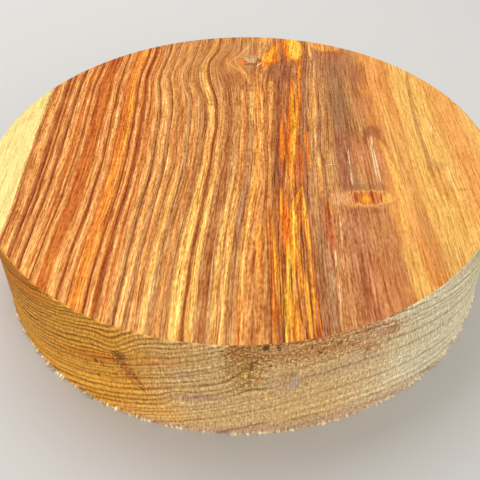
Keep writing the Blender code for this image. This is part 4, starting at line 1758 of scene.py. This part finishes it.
@dataclass
class TornLip:
    """Slivers of wood that the saw tore out along the lower edge, made in Geometry Nodes.

    Sizes are in metres. Each sliver draws its own values from the ranges. Its lean and its droop are shares of the
    way outwards, its length and its width are shares of the longest and of the usual width, and its radii are
    shares of its width.
    """

    radius: float
    longest: float = 1.55 * MM
    shortest: float = 0.3 * MM
    count: int = 1700
    width: float = 0.5 * MM
    seed: int = 5
    lean: Pair = (-0.7, 0.7)
    droop: Pair = (-0.7, 0.15)
    height: Pair = (0.2 * MM, 2.0 * MM)
    root: float = 0.3 * MM
    lengths: Pair = (0.3, 1.0)
    length_bias: float = 1.5
    widths: Pair = (0.5, 1.2)
    flatness: float = 0.6
    side_lip: float = 0.35
    corner_lip: float = 2.6
    facets: int = 5
    bends: int = 2
    tip_radius: float = 0.04
    foot_radius: float = 0.5
    curl: float = 250.0
    clearance: float = 0.02 * MM

    def build(self, finish: bpy.types.Material) -> bpy.types.Object:
        """Makes the slivers as one plain mesh.

        Args:
            finish: Their material.

        Returns:
            The new object, at the origin.
        """
        tree = self.tree()
        lip = bpy.data.objects.new("torn_lip", bpy.data.meshes.new("torn_lip"))
        bpy.context.scene.collection.objects.link(lip)
        modifier = lip.modifiers.new("slivers", "NODES")
        modifier.node_group = tree
        sizes = {"Radius": self.radius, "Longest": self.longest, "Count": self.count, "Width": self.width,
                 "Seed": self.seed, "Finish": finish}
        for item in tree.interface.items_tree:
            if item.in_out == "INPUT":
                modifier[item.identifier] = sizes[item.name]
        shown = lip.evaluated_get(bpy.context.evaluated_depsgraph_get())
        made = bpy.data.meshes.new_from_object(shown)
        lip.modifiers.remove(modifier)
        lip.data = made
        return lip

    def tree(self) -> bpy.types.NodeTree:
        """The node tree: points round the edge, a sliver at each, turned outwards and curled down.

        Returns:
            The new tree, with its sizes as named inputs.
        """
        tree = bpy.data.node_groups.new("torn_lip", "GeometryNodeTree")
        for name, kind in LIP_INPUTS.items():
            tree.interface.new_socket(name, in_out="INPUT", socket_type="NodeSocket" + kind)
        tree.interface.new_socket("Slivers", in_out="OUTPUT", socket_type="NodeSocketGeometry")
        nodes = LipNodes(tree)
        given = nodes.add("NodeGroupInput").outputs
        circle = nodes.add("GeometryNodeCurvePrimitiveCircle", Radius=given["Radius"])
        points = nodes.add("GeometryNodeCurveToPoints", Curve=circle.outputs["Curve"], Count=given["Count"])
        place = nodes.add("GeometryNodeInputPosition").outputs[0]
        outward = nodes.vector("NORMALIZE", place)
        lift = nodes.vector("SCALE", UPWARDS, scale=nodes.random(self.height, given["Seed"], 3))
        sink = nodes.vector("SCALE", outward, scale=-self.root)
        moved = nodes.add("GeometryNodeSetPosition", Geometry=points.outputs["Points"],
                          Offset=nodes.vector("ADD", lift, sink))
        cone = nodes.add("GeometryNodeMeshCone", **{
            "Vertices": self.facets, "Side Segments": self.bends, "Radius Top": self.tip_radius,
            "Radius Bottom": self.foot_radius, "Depth": 1.0,
        })
        slivers = nodes.add("GeometryNodeInstanceOnPoints", Points=moved.outputs["Geometry"],
                            Instance=cone.outputs["Mesh"], Rotation=self.turned(nodes, given, outward),
                            Scale=self.sized(nodes, given, outward))
        real = nodes.add("GeometryNodeRealizeInstances", Geometry=slivers.outputs["Instances"])
        curled = nodes.add("GeometryNodeSetPosition", Geometry=real.outputs["Geometry"],
                           Position=self.curled(nodes, given, place))
        dressed = nodes.add("GeometryNodeSetMaterial", Geometry=curled.outputs["Geometry"], Material=given["Finish"])
        out = nodes.add("NodeGroupOutput")
        tree.links.new(dressed.outputs["Geometry"], out.inputs["Slivers"])
        return tree

    def turned(self, nodes: LipNodes, given: bpy.types.NodeOutputs, outward: Socket) -> Socket:
        """How each sliver is turned: outwards, with its own lean along the edge and droop to the floor.

        Args:
            nodes: The tree that is filled.
            given: The tree's inputs.
            outward: The way outwards at each point.

        Returns:
            The rotations.
        """
        sideways = nodes.vector("CROSS_PRODUCT", outward, UPWARDS)
        lean = nodes.vector("SCALE", sideways, scale=nodes.random(self.lean, given["Seed"], 1))
        droop = nodes.vector("SCALE", UPWARDS, scale=nodes.random(self.droop, given["Seed"], 2))
        aim = nodes.vector("ADD", nodes.vector("ADD", outward, lean), droop)
        return nodes.add("FunctionNodeAlignRotationToVector", Vector=aim).outputs[0]

    def sized(self, nodes: LipNodes, given: bpy.types.NodeOutputs, outward: Socket) -> Socket:
        """How large each sliver is: longest where the saw cut the fibres slantwise or square across.

        Args:
            nodes: The tree that is filled.
            given: The tree's inputs.
            outward: The way outwards at each point.

        Returns:
            The scales.
        """
        across = nodes.vector("DOT_PRODUCT", outward, (0.0, 1.0, 0.0), output="Value")
        squared = nodes.number("MULTIPLY", across, across)
        corner = nodes.number("MULTIPLY", squared, nodes.number("SUBTRACT", 1.0, squared))
        end_grain = nodes.number("MULTIPLY_ADD", nodes.number("ABSOLUTE", across), 1 - self.side_lip, self.side_lip)
        end_grain = nodes.number("MULTIPLY_ADD", corner, self.corner_lip, end_grain)
        draw = nodes.number("POWER", nodes.random(self.lengths, given["Seed"], 4), self.length_bias)
        length = nodes.number("MULTIPLY", nodes.number("MULTIPLY", draw, end_grain), given["Longest"])
        length = nodes.number("ADD", length, self.shortest)
        width = nodes.number("MULTIPLY", nodes.random(self.widths, given["Seed"], 5), given["Width"])
        flat = nodes.number("MULTIPLY", width, self.flatness)
        return nodes.add("ShaderNodeCombineXYZ", X=width, Y=flat, Z=length).outputs[0]

    def curled(self, nodes: LipNodes, given: bpy.types.NodeOutputs, place: Socket) -> Socket:
        """Where each point of the slivers falls: lower the further it reaches out, but clear of the floor.

        Args:
            nodes: The tree that is filled.
            given: The tree's inputs.
            place: Where each point is.

        Returns:
            The new places.
        """
        apart = nodes.vector("MULTIPLY", place, (1.0, 1.0, 0.0))
        beyond = nodes.number("SUBTRACT", nodes.vector("LENGTH", apart, output="Value"), given["Radius"])
        beyond = nodes.number("MAXIMUM", beyond, 0.0)
        fall = nodes.number("MULTIPLY", nodes.number("MULTIPLY", beyond, beyond), -self.curl)
        drop = nodes.add("ShaderNodeCombineXYZ", Z=fall)
        return nodes.vector("MAXIMUM", nodes.vector("ADD", place, drop.outputs[0]), (-1.0, -1.0, self.clearance))


@dataclass
class Studio:
    """A pale floor, soft light and the camera at the photograph's place. Lengths are in metres."""

    lamps: tuple[tuple[str, tuple[float, float, float], float, float], ...] = (
        ("key", (-0.25, 0.45, 0.9), 0.9, 9.1),
        ("fill", (0.35, -0.9, 0.55), 0.9, 5.85),
    )
    sky_colour: Colour = (1.0, 0.98, 0.95, 1.0)
    sky_strength: float = 0.36
    floor_size: float = 3.0
    floor_colour: Colour = (0.62, 0.61, 0.59, 1.0)
    floor_roughness: float = 0.9
    distance: float = 0.34435
    elevation: float = 41.95
    roll: float = 1.0565
    aim: tuple[float, float, float] = (-0.00117, -0.00072, -0.0008)
    lens: float = 53.84
    sensor: float = 36.0
    nearest: float = 0.01

    def build(self) -> None:
        """Makes the floor, the lights, the sky and the camera."""
        self.floor()
        for name, where, size, power in self.lamps:
            self.light(name, where, size, power)
        world = bpy.data.worlds.new("studio")
        world.use_nodes = True
        sky = world.node_tree.nodes["Background"]
        sky.inputs["Color"].default_value = self.sky_colour
        sky.inputs["Strength"].default_value = self.sky_strength
        bpy.context.scene.world = world
        bpy.context.scene.view_settings.view_transform = "Standard"
        self.camera()

    def floor(self) -> None:
        """Lays the plain pale floor."""
        mesh = bmesh.new()
        bmesh.ops.create_grid(mesh, x_segments=1, y_segments=1, size=self.floor_size)
        data = bpy.data.meshes.new("floor")
        mesh.to_mesh(data)
        mesh.free()
        floor = bpy.data.objects.new("floor", data)
        material = bpy.data.materials.new("floor")
        material.use_nodes = True
        shader = material.node_tree.nodes["Principled BSDF"]
        shader.inputs["Base Color"].default_value = self.floor_colour
        shader.inputs["Roughness"].default_value = self.floor_roughness
        data.materials.append(material)
        bpy.context.scene.collection.objects.link(floor)

    def light(self, name: str, where: tuple[float, float, float], size: float, power: float) -> None:
        """Hangs one soft square light that faces the blank.

        Args:
            name: Its name.
            where: Its place, in metres.
            size: The length of its side.
            power: Its power in watts.
        """
        lamp = bpy.data.lights.new(name, "AREA")
        lamp.shape = "SQUARE"
        lamp.size = size
        lamp.energy = power
        light = bpy.data.objects.new(name, lamp)
        light.location = where
        light.rotation_euler = (-Vector(where)).to_track_quat("-Z", "Y").to_euler()
        bpy.context.scene.collection.objects.link(light)

    def camera(self) -> None:
        """Sets the camera at the photograph's viewing angle."""
        data = bpy.data.cameras.new("camera")
        data.lens = self.lens
        data.sensor_width = self.sensor
        data.clip_start = self.nearest
        camera = bpy.data.objects.new("camera", data)
        tilt = math.radians(self.elevation)
        camera.location = (0.0, -self.distance * math.cos(tilt), self.distance * math.sin(tilt))
        forward = (Vector(self.aim) - camera.location).normalized()
        turned = Quaternion(forward, math.radians(self.roll)) @ forward.to_track_quat("-Z", "Y")
        camera.rotation_mode = "QUATERNION"
        camera.rotation_quaternion = turned
        bpy.context.scene.collection.objects.link(camera)
        bpy.context.scene.camera = camera


def corners(box: Iterable[Vector]) -> list[list[float]]:
    """A box's corners as plain lists."""
    return [list(corner) for corner in box]


def main() -> None:
    """Builds the blank's pieces round the frame."""
    logging.basicConfig(level=logging.INFO)
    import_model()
    Studio().build()
    low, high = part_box(NODE)
    blank = Blank(radius=RADIUS, thickness=high[2] - low[2])
    body = blank.build({Side.PLANED: PlanedFace(), Side.SAWN: SawnWall(), Side.UNDER: RingedFace()})
    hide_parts(NODE)
    lip = TornLip(radius=RADIUS).build(TornFibre().material())
    for piece in (body, lip):
        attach(piece, BODY)
        piece.data.calc_loop_triangles()
        log.info("%s: %d triangles", piece.name, len(piece.data.loop_triangles))


if __name__ == "__main__":
    main()
